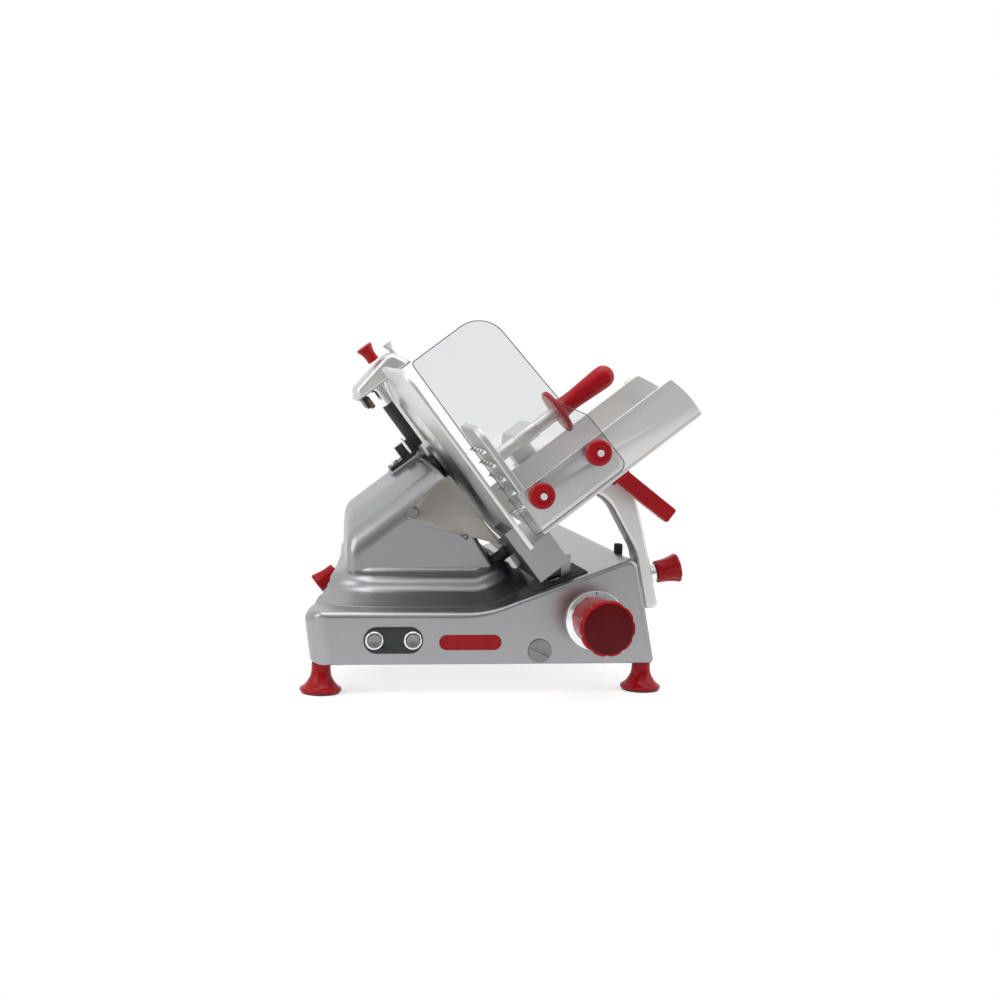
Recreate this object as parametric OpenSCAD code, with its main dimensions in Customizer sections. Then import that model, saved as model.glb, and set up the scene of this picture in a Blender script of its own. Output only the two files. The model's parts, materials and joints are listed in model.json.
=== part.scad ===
// Gravity-feed food slicer: cast base with a tower, tilted blade, gauge, sliding tray, press and sharpener.
// Millimetres, +Z up. Sizes run from the base's bottom left edge (X), its front panel (Y) and the bench (Z).
// Pieces that lean with the blade are drawn in its frame: X along its axis, Y to the back, Z up its face.

/* [Base casting] */
// Width of the base along its bottom edge
base_w = 438; // [430:1:446]
// Depth of the base from the front panel to the back wall
base_d = 440; // [430:1:450]
// Height of the base's bottom edge above the bench
base_z = 38; // [36:1:40]
// Height of the level shoulder above the bench
shoulder_z = 104; // [102:1:106]
// How far the left wall leans out at the shoulder
base_flare = 10; // [6:1:14]
// How far the left wall sweeps in towards the back
base_sweep = 94; // [90:1:98]
// Start of the sloping deck, from the left
slope_x = 219; // [214:1:224]
// Distance of the deck's ridge in from the base's right edge
ridge_x = 29; // [27:1:32]
// Height of the ridge above the bench
ridge_z = 175; // [173:1:177]
// Thickness of the casting's walls
wall = 6; // [5:0.5:6.5]

/* [Tower] */
// Left wall of the tower at its front
tower_x = 60; // [56:1:64]
// Front face of the tower
tower_y = 110; // [106:1:112]
// How far the tower reaches behind the blade's centre
tower_back = 160; // [157:1:166]
// Height of the tower's sloping top above the blade axis
tower_top = 34; // [33:0.5:36]
// How far the tower's left wall tapers in towards the back
tower_taper = 20; // [14:1:24]
// Width of the flared foot round the tower
foot_flare = 24; // [18:1:26]
// Height of the flared foot
flare_h = 30; // [24:1:34]

/* [Feet and covers] */
// Radius of a foot at the bench
foot_r = 26; // [22:1:28]
// Radius of a foot's neck
foot_neck_r = 12; // [10:0.5:13]
// Distance of the feet from the base's sides
foot_inset = 13; // [12:0.5:16]
// Distance of the front feet from the front panel
foot_front = 22; // [20:0.5:26]
// Distance of the rear feet from the back wall
foot_rear = 40; // [34:1:50]
// Radius of a foot's stud
foot_stud_r = 5; // [4:0.5:6]
// Thickness of the bottom cover
cover_t = 3; // [2:0.5:4]

/* [Control panel] */
// Centre of the control panel from the left
panel_x = 99; // [96:1:102]
// Height of the panel, plate and buttons above the bench
panel_z = 69; // [68:0.5:70]
// Width of the control panel
panel_w = 74; // [72:1:78]
// Height of the control panel
panel_h = 33; // [31:0.5:35]
// Thickness of the control panel
panel_t = 2; // [1.5:0.25:2.5]
// Distance between the two buttons
button_pitch = 48; // [46:1:50]
// Radius of a button cap
button_r = 8; // [7:0.25:8.5]
// Travel of a button
button_travel = 2.5; // [2:0.25:3]
// Width of a button's bezel
bezel_w = 3.2; // [2.5:0.1:3.5]
// Centre of the red plate from the left
plate_x = 196; // [192:1:200]
// Width of the red plate
plate_w = 79; // [74:1:84]
// Height of the red plate
plate_h = 19; // [17:0.5:21]
// Centre of the access plug from the left
plug_x = 285; // [280:1:288]
// Height of the access plug above the bench
plug_z = 55; // [54:0.5:57]
// Radius of the access plug
plug_r = 15; // [13:0.5:16]

/* [Thickness control] */
// Dial and index shaft, from the left
dial_x = 355; // [352:1:357]
// Height of the dial and index shaft above the bench
dial_z = 94; // [92:0.5:95]
// Radius of the dial ring
dial_r = 38; // [37:0.5:40]
// Radius of the thickness knob
index_knob_r = 35; // [33:0.5:36]
// Depth of the thickness knob
index_knob_d = 62; // [58:1:66]
// Radius of the index shaft
index_shaft_r = 7; // [6:0.25:8]
// Radius of the spiral cam at its low point
cam_low = 12; // [11:0.25:12.5]
// Travel of the gauge plate
gauge_travel = 14; // [12:0.5:14]

/* [Blade] */
// Tilt of the tray's slope from the level
tilt = 38; // [37.5:0.25:38.5]
// Blade centre from the left
blade_x = 202; // [201:0.5:203]
// Blade centre behind the front panel
blade_y = 250; // [248:0.5:252]
// Height of the blade centre above the bench
blade_z = 275; // [274:0.5:277]
// Radius of the blade
blade_r = 137.5; // [136:0.5:138]
// Width of the blade's flat cutting band
blade_band = 27.5; // [25:0.5:30]
// Depth of the blade's dish behind its cutting face
dish = 8; // [7.5:0.1:8.2]
// Radius of the blade shaft
shaft_r = 7.5; // [7:0.25:8]
// Radius of the blade bearings
bearing_r = 17.5; // [16.5:0.25:18]
// Radius of the blade's drive pulley
pulley_r = 24; // [22:0.5:25]
// Radius of the motor's pulley
motor_pulley_r = 12; // [11:0.5:13]
// Radius of the motor
motor_r = 45; // [42:0.5:46]
// Length of the motor
motor_len = 88; // [80:1:90]
// Distance between the motor's axis and the blade's
motor_drop = 95; // [93:0.5:96]
// Radial gap between the blade's rim and its guards
rim_gap = 3.5; // [3:0.25:4]
// Width of the ring guard's rim
ring_w = 9; // [8:0.5:10]
// Radius of the tie rod
tie_r = 5; // [4:0.25:5.5]
// Length of the tie rod's knob
tie_knob_len = 34; // [30:1:36]

/* [Gauge plate] */
// Front edge of the gauge plate, ahead of the front panel
gauge_front = 10; // [8:0.5:12]
// Rear limit of the gauge plate
gauge_rear = 175; // [170:1:180]
// Top of the gauge plate above the blade axis
gauge_top = 162; // [158:1:164]
// Foot of the gauge plate below the blade axis
gauge_foot = 112; // [110:0.5:114]
// Thickness of the gauge plate
gauge_t = 6; // [5:0.25:6.5]
// Radius of the gauge's guide rod
gauge_rod_r = 8; // [7:0.25:8.5]

/* [Carriage] */
// Travel of the carriage
carriage_travel = 280; // [270:1:282]
// Centre of the arm at rest, behind the front panel
arm_y = 45; // [43:0.5:47]
// Thickness of the arm, front to back
arm_t = 36; // [32:0.5:38]
// Height of the carriage stud where it leaves the base
stud_z = 143; // [142:0.5:144]
// Radius of the carriage stud
stud_r = 7; // [6.5:0.25:7.5]
// Radius of the carriage's guide rod
rod_r = 10; // [9:0.25:10.5]
// Distance from the base's right wall to the guide rod
rod_in = 34; // [33:0.5:35]
// Tray floor below the blade axis
tray_drop = 93; // [92:0.5:94]
// Near end of the tray, from the blade's face
tray_near = 14; // [12:0.5:16]
// Far end of the tray, from the blade's face
tray_far = 258; // [254:1:264]
// Outer face of the tray's near wall, ahead of the front panel
tray_front = 66; // [64:0.5:68]
// Width of the tray, near wall to far wall
tray_w = 204; // [200:0.5:206]
// Thickness of the tray's sheet
tray_t = 4; // [3:0.25:4.5]
// Height of the tray's near wall
near_h = 59; // [56:0.5:62]
// Height of the tray's far wall
far_h = 48; // [45:0.5:50]
// Width of the carriage handle
handle_w = 20; // [18:0.5:22]
// Length of the carriage handle
handle_len = 92; // [84:1:98]

/* [Clear guard] */
// Gap between the tray's near wall and the guard
guard_gap = 6; // [5:0.25:7]
// Thickness of the guard
guard_t = 4; // [3:0.25:5]
// Top of the guard above the blade axis
guard_top = 171; // [166:1:174]
// Bottom of the guard below the blade axis
guard_foot = 86; // [84:0.5:88]
// Width of the guard at its top
guard_top_w = 108; // [104:1:112]
// Width of the guard at its bottom
guard_foot_w = 141; // [138:1:144]
// Near guard knob, from the blade's face
guard_knob_n = 36; // [34:0.5:38]
// Distance between the guard knobs
guard_knob_pitch = 86; // [84:0.5:88]
// Guard knobs below the blade axis
guard_knob_drop = 48.5; // [47:0.5:50]
// Radius of a guard knob
guard_knob_r = 16; // [14:0.5:17]
// Depth of a guard knob
guard_knob_d = 16; // [14:0.5:18]
// Radius of a guard stud
guard_stud_r = 4; // [3.5:0.25:4.5]

/* [Press] */
// Press tube behind the front panel
press_y = 35; // [33:0.5:37]
// Back of the press plate from the blade's face
press_n = 32; // [31:0.5:34]
// Width of the press plate
press_w = 110; // [104:1:114]
// Height of the press plate above the tube
press_up = 54; // [50:1:58]
// Height of the press plate below the tube
press_down = 80; // [76:0.5:82]
// Radius of the press tube
press_tube_r = 9; // [8:0.25:10]
// Hand guard's place from the blade's face
press_disc_n = 126; // [124:1:130]
// Radius of the hand guard
press_disc_r = 30; // [27:0.5:32]
// Length of the press handle
press_handle_len = 92; // [86:1:98]
// Radius of the press rod
press_rod_r = 7; // [6.5:0.25:7.5]
// Press rod behind the front panel
press_rod_y = 164; // [163:0.5:167]
// Press rod below the blade axis
press_rod_drop = 62; // [61:0.5:63]
// Travel of the press along its rod
press_travel = 150; // [140:1:152]

/* [Sharpener] */
// Distance of the sharpener's post from the blade's face
post_n = 20; // [19.5:0.25:21]
// Radius of the sharpener's post
post_r = 5; // [4.5:0.25:5.25]
// Lift of the sharpener
sharpener_lift = 40; // [36:1:42]
// Top of the sleeve above the blade axis
sleeve_top = 110; // [106:1:112]
// Edge of the cap above the blade's rim
cap_gap = 2; // [1.5:0.25:3]
// Depth of the cap, front to back
cap_d = 52; // [48:1:54]
// Height of the cap
cap_h = 29; // [27:0.5:31]
// Radius of a sharpening stone
stone_r = 9; // [8:0.25:9.5]

/* [Fits] */
// Radial clearance of running and fixed fits
fit = 0.05; // [0.03:0.01:0.08]
// Clearance between moving faces
gap = 0.4; // [0.3:0.05:0.6]

/* [Hidden] */
$fn = 48;

// Colours
CAST = [0.66, 0.67, 0.69];
STEEL = [0.78, 0.78, 0.79];
SHEET = [0.72, 0.71, 0.70];
WARM = [0.60, 0.57, 0.54];
RED = [0.62, 0.04, 0.07];
DARK = [0.27, 0.27, 0.29];
BLACK = [0.10, 0.10, 0.11];
CLEAR = [0.85, 0.88, 0.90, 0.3];

// Leaning directions, angles and shared places
lean = atan(ridge_x / (ridge_z - base_z));
slope = atan((ridge_z - shoulder_z) / (base_w - ridge_x - slope_x));
wall_x = base_w - (stud_z - base_z) * tan(lean);
tower_end = blade_y + tower_back;

// Blade-axis places, measured from the blade's cutting face
hub_n = -dish;
flange_t = 4;
seat_n = -24;
neck_len = 11;
housing_r = bearing_r + 6.5;
pulley_n = -64;
pulley_w = 12;
bearing_w = 11;
tower_n = -25;
tower_foot_n = -41;
tower_foot_t = -90;
ring_r = blade_r + rim_gap;
ring_out = ring_r + ring_w;
ring_n = -14;

motor_shaft_r = 5;
motor_foot_w = 52;
motor_foot_d = 36;

// Tie rod, outside the blade's rim
tie_t = -56;
tie_dy = sqrt(pow(ring_out + 3, 2) - tie_t * tie_t);
tie_seat_n = -212;
lug_seat_n = -34;
lug_r = 12;
top_lug_t = 20;
top_lug_dy = sqrt(pow(ring_out, 2) - top_lug_t * top_lug_t);
top_lug_n = -23;

// Ear of the blade cover, which passes over the blade's band to the tie rod
ear_n = 0.8;
ear_t = 2.5;
ear_w = 26;
ear_in = 60;
cover_r = blade_r - blade_band - 12;

// Gauge places
gauge_y = 135;
gauge_rod_t = -128;
gauge_rod_seat = -36;
carrier_front = 10;
carrier_back = 150;
carrier_n = 17;
carrier_w = 46;
carrier_drop = 158;
bracket_t = 12;
bracket_w = 70;
bracket_h = 32;
bridge_w = 18;
bridge_t = 14;
leg_w = 12;
cam_turn = 300;
leg_y0 = 38;
leg_d = 16;
leg_shift = gauge_travel * cos(tilt);
leg_x = dial_x - cam_low - leg_shift - 1.5 - leg_w;
nose_r = 4;
bridge_z = shoulder_z + (dial_x - slope_x) * tan(slope) + 4;

// Feet places
foot_left = foot_inset;
foot_right = base_w - foot_inset;
rear_left = base_sweep - base_flare + foot_inset - 2;
foot_back = base_d - foot_rear;
boss_r = 11;
boss_h = 24;

// Buttons
start_x = panel_x - button_pitch / 2;
stop_x = panel_x + button_pitch / 2;
button_hole = button_r + gap;
bezel_t = 2;
button_face = panel_t + button_travel + 1.5;
stem_len = 16;
board_y = 28;
board_w = 84;
board_h = 44;
switch_w = 22;

// Front plate and the gland at the back
plate_t = 1.5;
gland_x = dial_x - 25;
gland_z = dial_z - 20;
gland_r = 9;
gland_bore = 4.5;
gland_out = 12;

// Deflector
deflector_pin_r = 3;
deflector_y = tower_y - 10;
deflector_t = 3;
deflector_n = -gauge_t - gauge_travel - 1.5;
knurl_x = 134;
knurl_z = 217;
pin_x = 205;
pin_z = 186;

// Carriage
guard_y = -tray_front - guard_gap - guard_t;
stud_len = 58;
arm_face = 22;
boss_face = 31;
knob_len = 31;
slider_w = 50;
far_y = -tray_front + tray_w;

// Press
press_lug = 10;
near_lug_n = 40;
spool_n = near_lug_n + 2 * press_lug;
spool_w = 40;
far_lug_n = spool_n + spool_w + press_travel + 1;
spool_flange = 4;
spool_r = press_rod_r + 6;
eye_r = spool_r + 6;
grip_r = 14.5;

// Sharpener
cap_t = blade_r + cap_gap;
roof_t = cap_t + 19;
post_hold = 30;
post_low = sleeve_top - sharpener_lift - post_hold;
stone_n = -post_n - 18;
stone_t = cap_t - stone_r - 3;
stone_w = 6;
knob_t = cap_t + cap_h;

// Overall box centre: the origin lies on the bench below it
lock_end = boss_face + gap + knob_len;
lock_r = 19;
x_max = wall_x + lock_end * cos(lean) + (lock_r - 2) * sin(lean);
x_min = foot_left - foot_r;
y_min = guard_y - guard_knob_d - 5;
y_max = base_d + gland_out;
frame_x = (x_max + x_min) / 2;
frame_y = (y_min + y_max) / 2;

// Outline helpers: cut each corner back by its own length and round it with a curve
function soft_corner(p, q, r, cut, steps) = cut == 0 ? [q] :
    let(a = (p - q) / norm(p - q), b = (r - q) / norm(r - q))
    [for (i = [0 : steps]) let(s = i / steps) q + a * cut * pow(1 - s, 2) + b * cut * pow(s, 2)];
function softened(pts, cuts, steps = 6) = let(n = len(pts))
    [for (i = [0 : n - 1]) each soft_corner(pts[(i + n - 1) % n], pts[i], pts[(i + 1) % n], cuts[i], steps)];

// Inset of a clockwise outline: each edge moves in by w and meets its neighbours again
function edge_in(p, q, w) = let(d = (q - p) / norm(q - p)) [p + w * [d[1], -d[0]], d];
function meet(a, b) = a[0] + a[1] * cross(b[0] - a[0], b[1]) / cross(a[1], b[1]);
function inset(pts, w) = let(n = len(pts)) [for (i = [0 : n - 1])
    meet(edge_in(pts[(i + n - 1) % n], pts[i], w), edge_in(pts[i], pts[(i + 1) % n], w))];

// Point of the blade's frame in the base's X and Z
function blade_xz(n, t) = [blade_x + n * cos(tilt) - t * sin(tilt), blade_z + n * sin(tilt) + t * cos(tilt)];

// Frames
module place() translate([-frame_x, -frame_y, 0]) children();
module at_blade(n = 0, dy = 0, t = 0) place() translate([blade_x, blade_y, blade_z]) rotate([0, -tilt, 0])
    translate([n, dy, t]) children();
module at_wall(d = 0) place() translate([wall_x, arm_y, stud_z]) rotate([0, -lean, 0])
    translate([d, 0, 0]) children();
module at_deck(d = 0, y = 0) place() translate([slope_x, y, shoulder_z]) rotate([0, -slope, 0])
    translate([d, 0, 0]) children();

// Shapes that repeat
module rod_n(r, h) rotate([0, 90, 0]) cylinder(r = r, h = h);
module rod_y(r, h) rotate([-90, 0, 0]) cylinder(r = r, h = h);
module turned_n(pts) rotate([0, 90, 0]) rotate_extrude() polygon(pts);
module sheet_y(pts, y, h) translate([0, y + h, 0]) rotate([90, 0, 0]) linear_extrude(h) polygon(pts);
module sheet_n(pts, n, h) translate([n, 0, 0]) rotate([90, 0, 90]) linear_extrude(h) polygon(pts);
module stadium_y(w, h, t) {
    translate([-(w - h) / 2, 0, -h / 2]) cube([w - h, t, h]);
    for (s = [-1, 1]) translate([s * (w - h) / 2, 0, 0]) rod_y(h / 2, t);
}

// Outlines of the casting, clockwise seen from the front
base_outline = [[0, base_z], [-base_flare, shoulder_z], [slope_x, shoulder_z],
    [base_w - ridge_x, ridge_z], [base_w, base_z]];
plan_outline = [[-base_flare, 0], [base_w, 0], [base_w, base_d], [base_sweep - base_flare, base_d],
    [base_sweep - base_flare - tower_taper, tower_y + 100], [-base_flare, tower_y - 50]];
core_cuts = [26, 56, 28, 22, 8, 22];
tower_low = shoulder_z - wall;
tower_outline = [[tower_x, tower_low], [tower_x, blade_xz(0, tower_top)[1]
    - (blade_xz(0, tower_top)[0] - tower_x) * tan(tilt)], blade_xz(tower_n, tower_top),
    blade_xz(tower_foot_n, tower_foot_t), blade_xz(tower_foot_n - 4, tower_foot_t - 54),
    [blade_xz(tower_foot_n, tower_foot_t - 54)[0] + foot_flare, tower_low]];
tower_cuts = [0, 22, 8, 20, 20, 0];

module tower_plan(w) translate([0, 0, tower_low - 1]) linear_extrude(blade_z) polygon([
    [tower_x + w, tower_y + w], [tower_outline[5][0] + 40, tower_y + w],
    [tower_outline[5][0] + 40, tower_end - w], [tower_x + tower_taper + w, tower_end - w]]);

module casting_skin() {
    intersection() {
        sheet_y(softened(base_outline, [6, 18, 46, 22, 6]), 0, base_d);
        linear_extrude(ridge_z + 1) polygon(softened(plan_outline, [24, 10, 24, 30, 60, 34]));
    }
    intersection() {
        sheet_y(softened(tower_outline, tower_cuts), tower_y, tower_end - tower_y);
        tower_plan(0);
    }
    hull() {
        translate([0, 0, tower_low]) linear_extrude(wall) polygon([[tower_x - 8, tower_y - foot_flare],
            [tower_outline[5][0], tower_y - foot_flare], [tower_outline[5][0], tower_end + 8],
            [tower_x + tower_taper + 2, tower_end + 8]]);
        translate([0, 0, shoulder_z + flare_h - 1]) linear_extrude(1) polygon([[tower_x, tower_y],
            [tower_outline[4][0], tower_y], [tower_outline[4][0], tower_end],
            [tower_x + tower_taper, tower_end]]);
    }
}

module casting_core() {
    intersection() {
        sheet_y(softened(inset(concat([[0, base_z - wall]], [for (i = [1 : 3]) base_outline[i]],
            [[base_w, base_z - wall]]), wall), [0, 14, 46, 18, 0]), wall, base_d - 2 * wall);
        translate([0, 0, base_z - wall]) linear_extrude(ridge_z)
            polygon(softened(inset([for (i = [5 : -1 : 0]) plan_outline[i]], wall), core_cuts));
    }
    intersection() {
        sheet_y(softened(inset(tower_outline, wall), [0, 18, 4, 16, 16, 0]), tower_y + wall,
            tower_end - tower_y - 2 * wall);
        tower_plan(wall);
    }
    translate([tower_x + tower_taper + wall, tower_y + wall, tower_low - 1])
        cube([tower_outline[4][0] - tower_x - tower_taper - 2 * wall, tower_end - tower_y - 2 * wall,
            2 * wall + 2]);
}

module foot_places() for (p = [[foot_left, foot_front], [foot_right, foot_front], [rear_left, foot_back],
    [foot_right, foot_back]]) translate([p[0], p[1], 0]) children();
module at_carriage_rod(y) translate([wall_x - rod_in * cos(lean), y, stud_z - rod_in * sin(lean)]) children();
module deflector_places(y) for (p = [[knurl_x, knurl_z], [pin_x, pin_z]])
    translate([p[0], y, p[1]]) children();

module casting_bosses() {
    foot_places() translate([0, 0, base_z]) cylinder(r = boss_r, h = boss_h);
    for (y = [wall - 1, base_d - wall - 8]) translate([rear_left + 2 * boss_r, y, base_z + cover_t])
        cube([foot_right - rear_left - 4 * boss_r, 9, 8]);
    for (y = [wall - 1, base_d - wall - 13]) at_carriage_rod(y) rod_y(rod_r + 5, 14);
    deflector_places(deflector_y + deflector_t) rod_y(8, tower_y + wall + 8 - deflector_y - deflector_t);
}

module leaning_bosses() {
    at_blade(seat_n - 26) rod_n(housing_r + 8, 26);
    at_blade(lug_seat_n - 14, tie_dy, tie_t) rod_n(lug_r + 2, 14);
    at_blade(top_lug_n - 20, top_lug_dy, top_lug_t) rod_n(lug_r, 20);
    at_blade(tie_seat_n, tie_dy, tie_t) rod_n(lug_r, 26);
    at_blade(gauge_rod_seat - 20, gauge_y - blade_y, gauge_rod_t) rod_n(gauge_rod_r + 5, 20);
}

module casting_holes() {
    foot_places() translate([0, 0, base_z - 1]) cylinder(r = foot_stud_r + fit, h = boss_h - 3);
    for (x = [start_x, stop_x]) translate([x, -1, panel_z]) rod_y(button_hole, wall + 2);
    translate([plug_x, -1, plug_z]) rod_y(plug_r - 4 + fit, wall + 2);
    translate([dial_x, -1, dial_z]) rod_y(index_shaft_r + 5 + fit, wall + 2);
    for (y = [wall + 1, base_d - wall - 14]) at_carriage_rod(y) rod_y(rod_r + fit, 13);
    translate([gland_x, base_d - wall - 1, gland_z]) rod_y(gland_r + fit, wall + 2);
    deflector_places(deflector_y) rod_y(deflector_pin_r + fit, 24);
    translate([leg_x - leg_shift - 4, leg_y0 - 4, shoulder_z])
        cube([leg_w + leg_shift + 8, leg_d + 8, ridge_z - shoulder_z]);
}

module leaning_holes() {
    at_blade(seat_n - 60) rod_n(housing_r + fit, 61);
    at_blade(tie_seat_n - 1, tie_dy, tie_t) rod_n(tie_r + fit, 240);
    at_blade(gauge_rod_seat - 18, gauge_y - blade_y, gauge_rod_t) rod_n(gauge_rod_r + fit, 19);
    at_wall(-wall - 8) {
        translate([0, 0, -stud_r - 1]) cube([wall + 16, carriage_travel, 2 * stud_r + 2]);
        for (y = [0, carriage_travel]) translate([0, y, 0]) rod_n(stud_r + 1, wall + 16);
    }
}

module base_casting() color(CAST) difference() {
    union() {
        place() difference() {
            casting_skin();
            casting_core();
        }
        place() casting_bosses();
        leaning_bosses();
    }
    place() casting_holes();
    leaning_holes();
}

module bottom_cover() color(STEEL) place() difference() {
    translate([0, 0, base_z]) linear_extrude(cover_t)
        polygon(softened(inset([for (i = [5 : -1 : 0])
            plan_outline[i] + [i == 0 || i > 3 ? base_flare : 0, 0]], wall + 2), core_cuts));
    foot_places() translate([0, 0, base_z - 1]) cylinder(r = boss_r + 4, h = cover_t + 2);
}

module bell_foot(x, y) color(RED) place() translate([x, y, 0]) {
    rotate_extrude() polygon(concat([[0, 0], [foot_r - 1, 0], [foot_r, 1], [foot_r, 3]],
        [for (i = [0 : 8]) let(s = i / 8)
            [foot_neck_r + (foot_r - 1 - foot_neck_r) * pow(1 - s, 2.2), 3.5 + s * (base_z - 12)]],
        [[foot_neck_r, base_z], [0, base_z]]));
    translate([0, 0, base_z - 1]) cylinder(r = foot_stud_r, h = boss_h - 6);
}
module foot_front_left() bell_foot(foot_left, foot_front);
module foot_front_right() bell_foot(foot_right, foot_front);
module foot_rear_left() bell_foot(rear_left, foot_back);
module foot_rear_right() bell_foot(foot_right, foot_back);

module control_panel() color(DARK) place() difference() {
    translate([panel_x, -panel_t, panel_z]) stadium_y(panel_w, panel_h, panel_t);
    for (x = [start_x, stop_x]) translate([x, -panel_t - 1, panel_z]) rod_y(button_hole, panel_t + 2);
}

module button_bezels() color(STEEL) place() for (x = [start_x, stop_x])
    translate([x, -panel_t - bezel_t, panel_z]) difference() {
        rod_y(button_hole + bezel_w, bezel_t);
        translate([0, -1, 0]) rod_y(button_hole, bezel_t + 2);
    }

module push_button(x) color(STEEL) place() translate([x, -button_face, panel_z]) {
    rod_y(button_r, button_face + wall);
    rod_y(button_r / 2, button_face + wall + stem_len);
}
module start_button() push_button(start_x);
module stop_button() push_button(stop_x);

module control_board() color([0.10, 0.30, 0.16]) place() difference() {
    union() {
        translate([panel_x - board_w / 2, wall + board_y, panel_z - board_h / 2]) cube([board_w, 2, board_h]);
        for (x = [start_x, stop_x]) translate([x - switch_w / 2, wall + 5, panel_z - switch_w / 2])
            cube([switch_w, board_y - 4, switch_w]);
        for (x = [-1, 0, 1]) translate([panel_x + x * (board_w / 2 - 4), wall, panel_z + board_h / 2 - 5])
            rod_y(4, board_y + 1);
    }
    for (x = [start_x, stop_x]) translate([x, wall, panel_z])
        rod_y(button_r / 2 + fit, stem_len + button_travel + 2);
}

module badge_plate() color(RED) place() translate([plate_x, -plate_t, panel_z - 3])
    stadium_y(plate_w, plate_h, plate_t);

module access_plug() color(STEEL) place() translate([plug_x, -3, plug_z]) difference() {
    union() {
        rod_y(plug_r, 3);
        rod_y(plug_r - 4, 3 + wall);
    }
    rotate([0, 25, 0]) translate([-plug_r, -1, -1.5]) cube([2 * plug_r, 2.5, 3]);
}

module dial_ring() color(STEEL) place() translate([dial_x, 0, dial_z]) difference() {
    union() {
        translate([0, -4, 0]) rod_y(dial_r, 4);
        rod_y(index_shaft_r + 5, 30);
    }
    translate([0, -5, 0]) rod_y(index_shaft_r + fit, 36);
}

module index_knob() color(RED) place() translate([dial_x, -4 - gap - index_knob_d, dial_z]) difference() {
    union() {
        difference() {
            rod_y(index_knob_r, 14);
            for (a = [0 : 36 : 359]) rotate([0, a, 0]) translate([index_knob_r + 8, -1, 0]) rod_y(10, 16);
        }
        translate([0, 13, 0]) rod_y(index_knob_r - 5, index_knob_d - 13);
    }
    translate([0, 20, 0]) rod_y(index_shaft_r + fit, index_knob_d);
}

// The cam's radius grows with the turn, so that it pushes the gauge leg along
module index_shaft() color(STEEL) place() translate([dial_x, 0, dial_z]) {
    translate([0, 20 - 4 - gap - index_knob_d, 0]) rod_y(index_shaft_r, index_knob_d + leg_y0 + leg_d - 10);
    translate([0, leg_y0 + leg_d, 0]) rotate([90, 0, 0]) linear_extrude(leg_d)
        polygon([for (a = [0 : 10 : 350]) let(r = cam_low + (a > cam_turn ? 0 : leg_shift * a / cam_turn))
            [-r * cos(a), -r * sin(a)]]);
}

module gauge_seal() color(BLACK) difference() {
    at_deck((leg_x - slope_x) / cos(slope) - leg_shift - 28, leg_y0 - 20)
        cube([leg_shift + leg_w + 48, leg_d + 64, 2]);
    place() translate([leg_x - leg_shift - 2, leg_y0 - 2, shoulder_z])
        cube([leg_w + leg_shift + 4, leg_d + 4, ridge_z]);
}

module gauge_plate() color(STEEL) at_blade() difference() {
    sheet_n(softened([[-gauge_front - blade_y, -gauge_foot], [-gauge_front - blade_y, gauge_top],
        [gauge_rear - blade_y, gauge_top], [gauge_rear - blade_y, -gauge_foot]], [0, 30, 6, 0]),
        -gauge_t, gauge_t);
    translate([-gauge_t - 1, 0, 0]) rod_n(ring_r, gauge_t + 2);
}

module gauge_carrier() color(CAST) difference() {
    union() {
        at_blade(0, carrier_front - blade_y, 0) {
            translate([-carrier_n, 0, -carrier_drop])
                cube([carrier_w, carrier_back - carrier_front, carrier_drop - gauge_foot]);
            translate([-gauge_t - bracket_t, 0, -gauge_foot - 1]) cube([bracket_t, bracket_w, bracket_h + 1]);
        }
        place() translate([leg_x, leg_y0, dial_z - 2 * nose_r - 1])
            cube([leg_w, leg_d, bridge_z + bridge_t - dial_z + 2 * nose_r + 1]);
        place() translate([leg_x - bridge_w, leg_y0, bridge_z]) cube([leg_w + bridge_w, leg_d, bridge_t]);
        place() translate([dial_x - cam_low - gap - nose_r, leg_y0, dial_z]) {
            rod_y(nose_r, leg_d);
            translate([leg_x - dial_x + cam_low + gap + nose_r + 1, 0, -nose_r])
                cube([dial_x - cam_low - gap - nose_r - leg_x - 1, leg_d, 2 * nose_r]);
        }
    }
    at_blade(-20, gauge_y - blade_y, gauge_rod_t) rod_n(gauge_rod_r + fit, 60);
}

module gauge_rod() color(BLACK) at_blade(gauge_rod_seat - 17, gauge_y - blade_y, gauge_rod_t)
    rod_n(gauge_rod_r, 60);

module bearing_housing() color(BLACK) at_blade() difference() {
    union() {
        translate([seat_n - 20, 0, 0]) rod_n(housing_r, 20);
        translate([seat_n, 0, 0]) rod_n(housing_r + 8, 5);
        translate([seat_n, 0, 0]) rod_n(housing_r, neck_len);
    }
    translate([seat_n - 21, 0, 0]) rod_n(bearing_r + fit, 36);
}

module blade_bearings() color(STEEL) at_blade() for (n = [seat_n - 20, seat_n + neck_len - bearing_w])
    translate([n, 0, 0]) difference() {
        rod_n(bearing_r, bearing_w);
        translate([-1, 0, 0]) rod_n(shaft_r + fit, bearing_w + 2);
    }

module screw_places() for (a = [45 : 90 : 359]) rotate([a, 0, 0]) translate([0, 0, 20]) children();

module blade_shaft() color(STEEL) at_blade() difference() {
    union() {
        translate([pulley_n - 3, 0, 0]) rod_n(shaft_r, hub_n + 3 - pulley_n + 3);
        translate([pulley_n, 0, 0]) rod_n(pulley_r, pulley_w);
        translate([hub_n - flange_t, 0, 0]) rod_n(30, flange_t);
    }
    screw_places() translate([hub_n - flange_t - 1, 0, 0]) rod_n(2.5 + fit, flange_t + 2);
}

module blade() color(STEEL) at_blade() difference() {
    turned_n([[shaft_r + fit, hub_n], [blade_r - blade_band - 10, hub_n], [blade_r - blade_band + 2, -3.2],
        [blade_r, -0.8], [blade_r, 0], [blade_r - blade_band, 0], [blade_r - blade_band - 8, hub_n + 3],
        [shaft_r + fit, hub_n + 3]]);
    screw_places() translate([hub_n - 1, 0, 0]) rod_n(2.5 + fit, 6);
}

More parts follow.
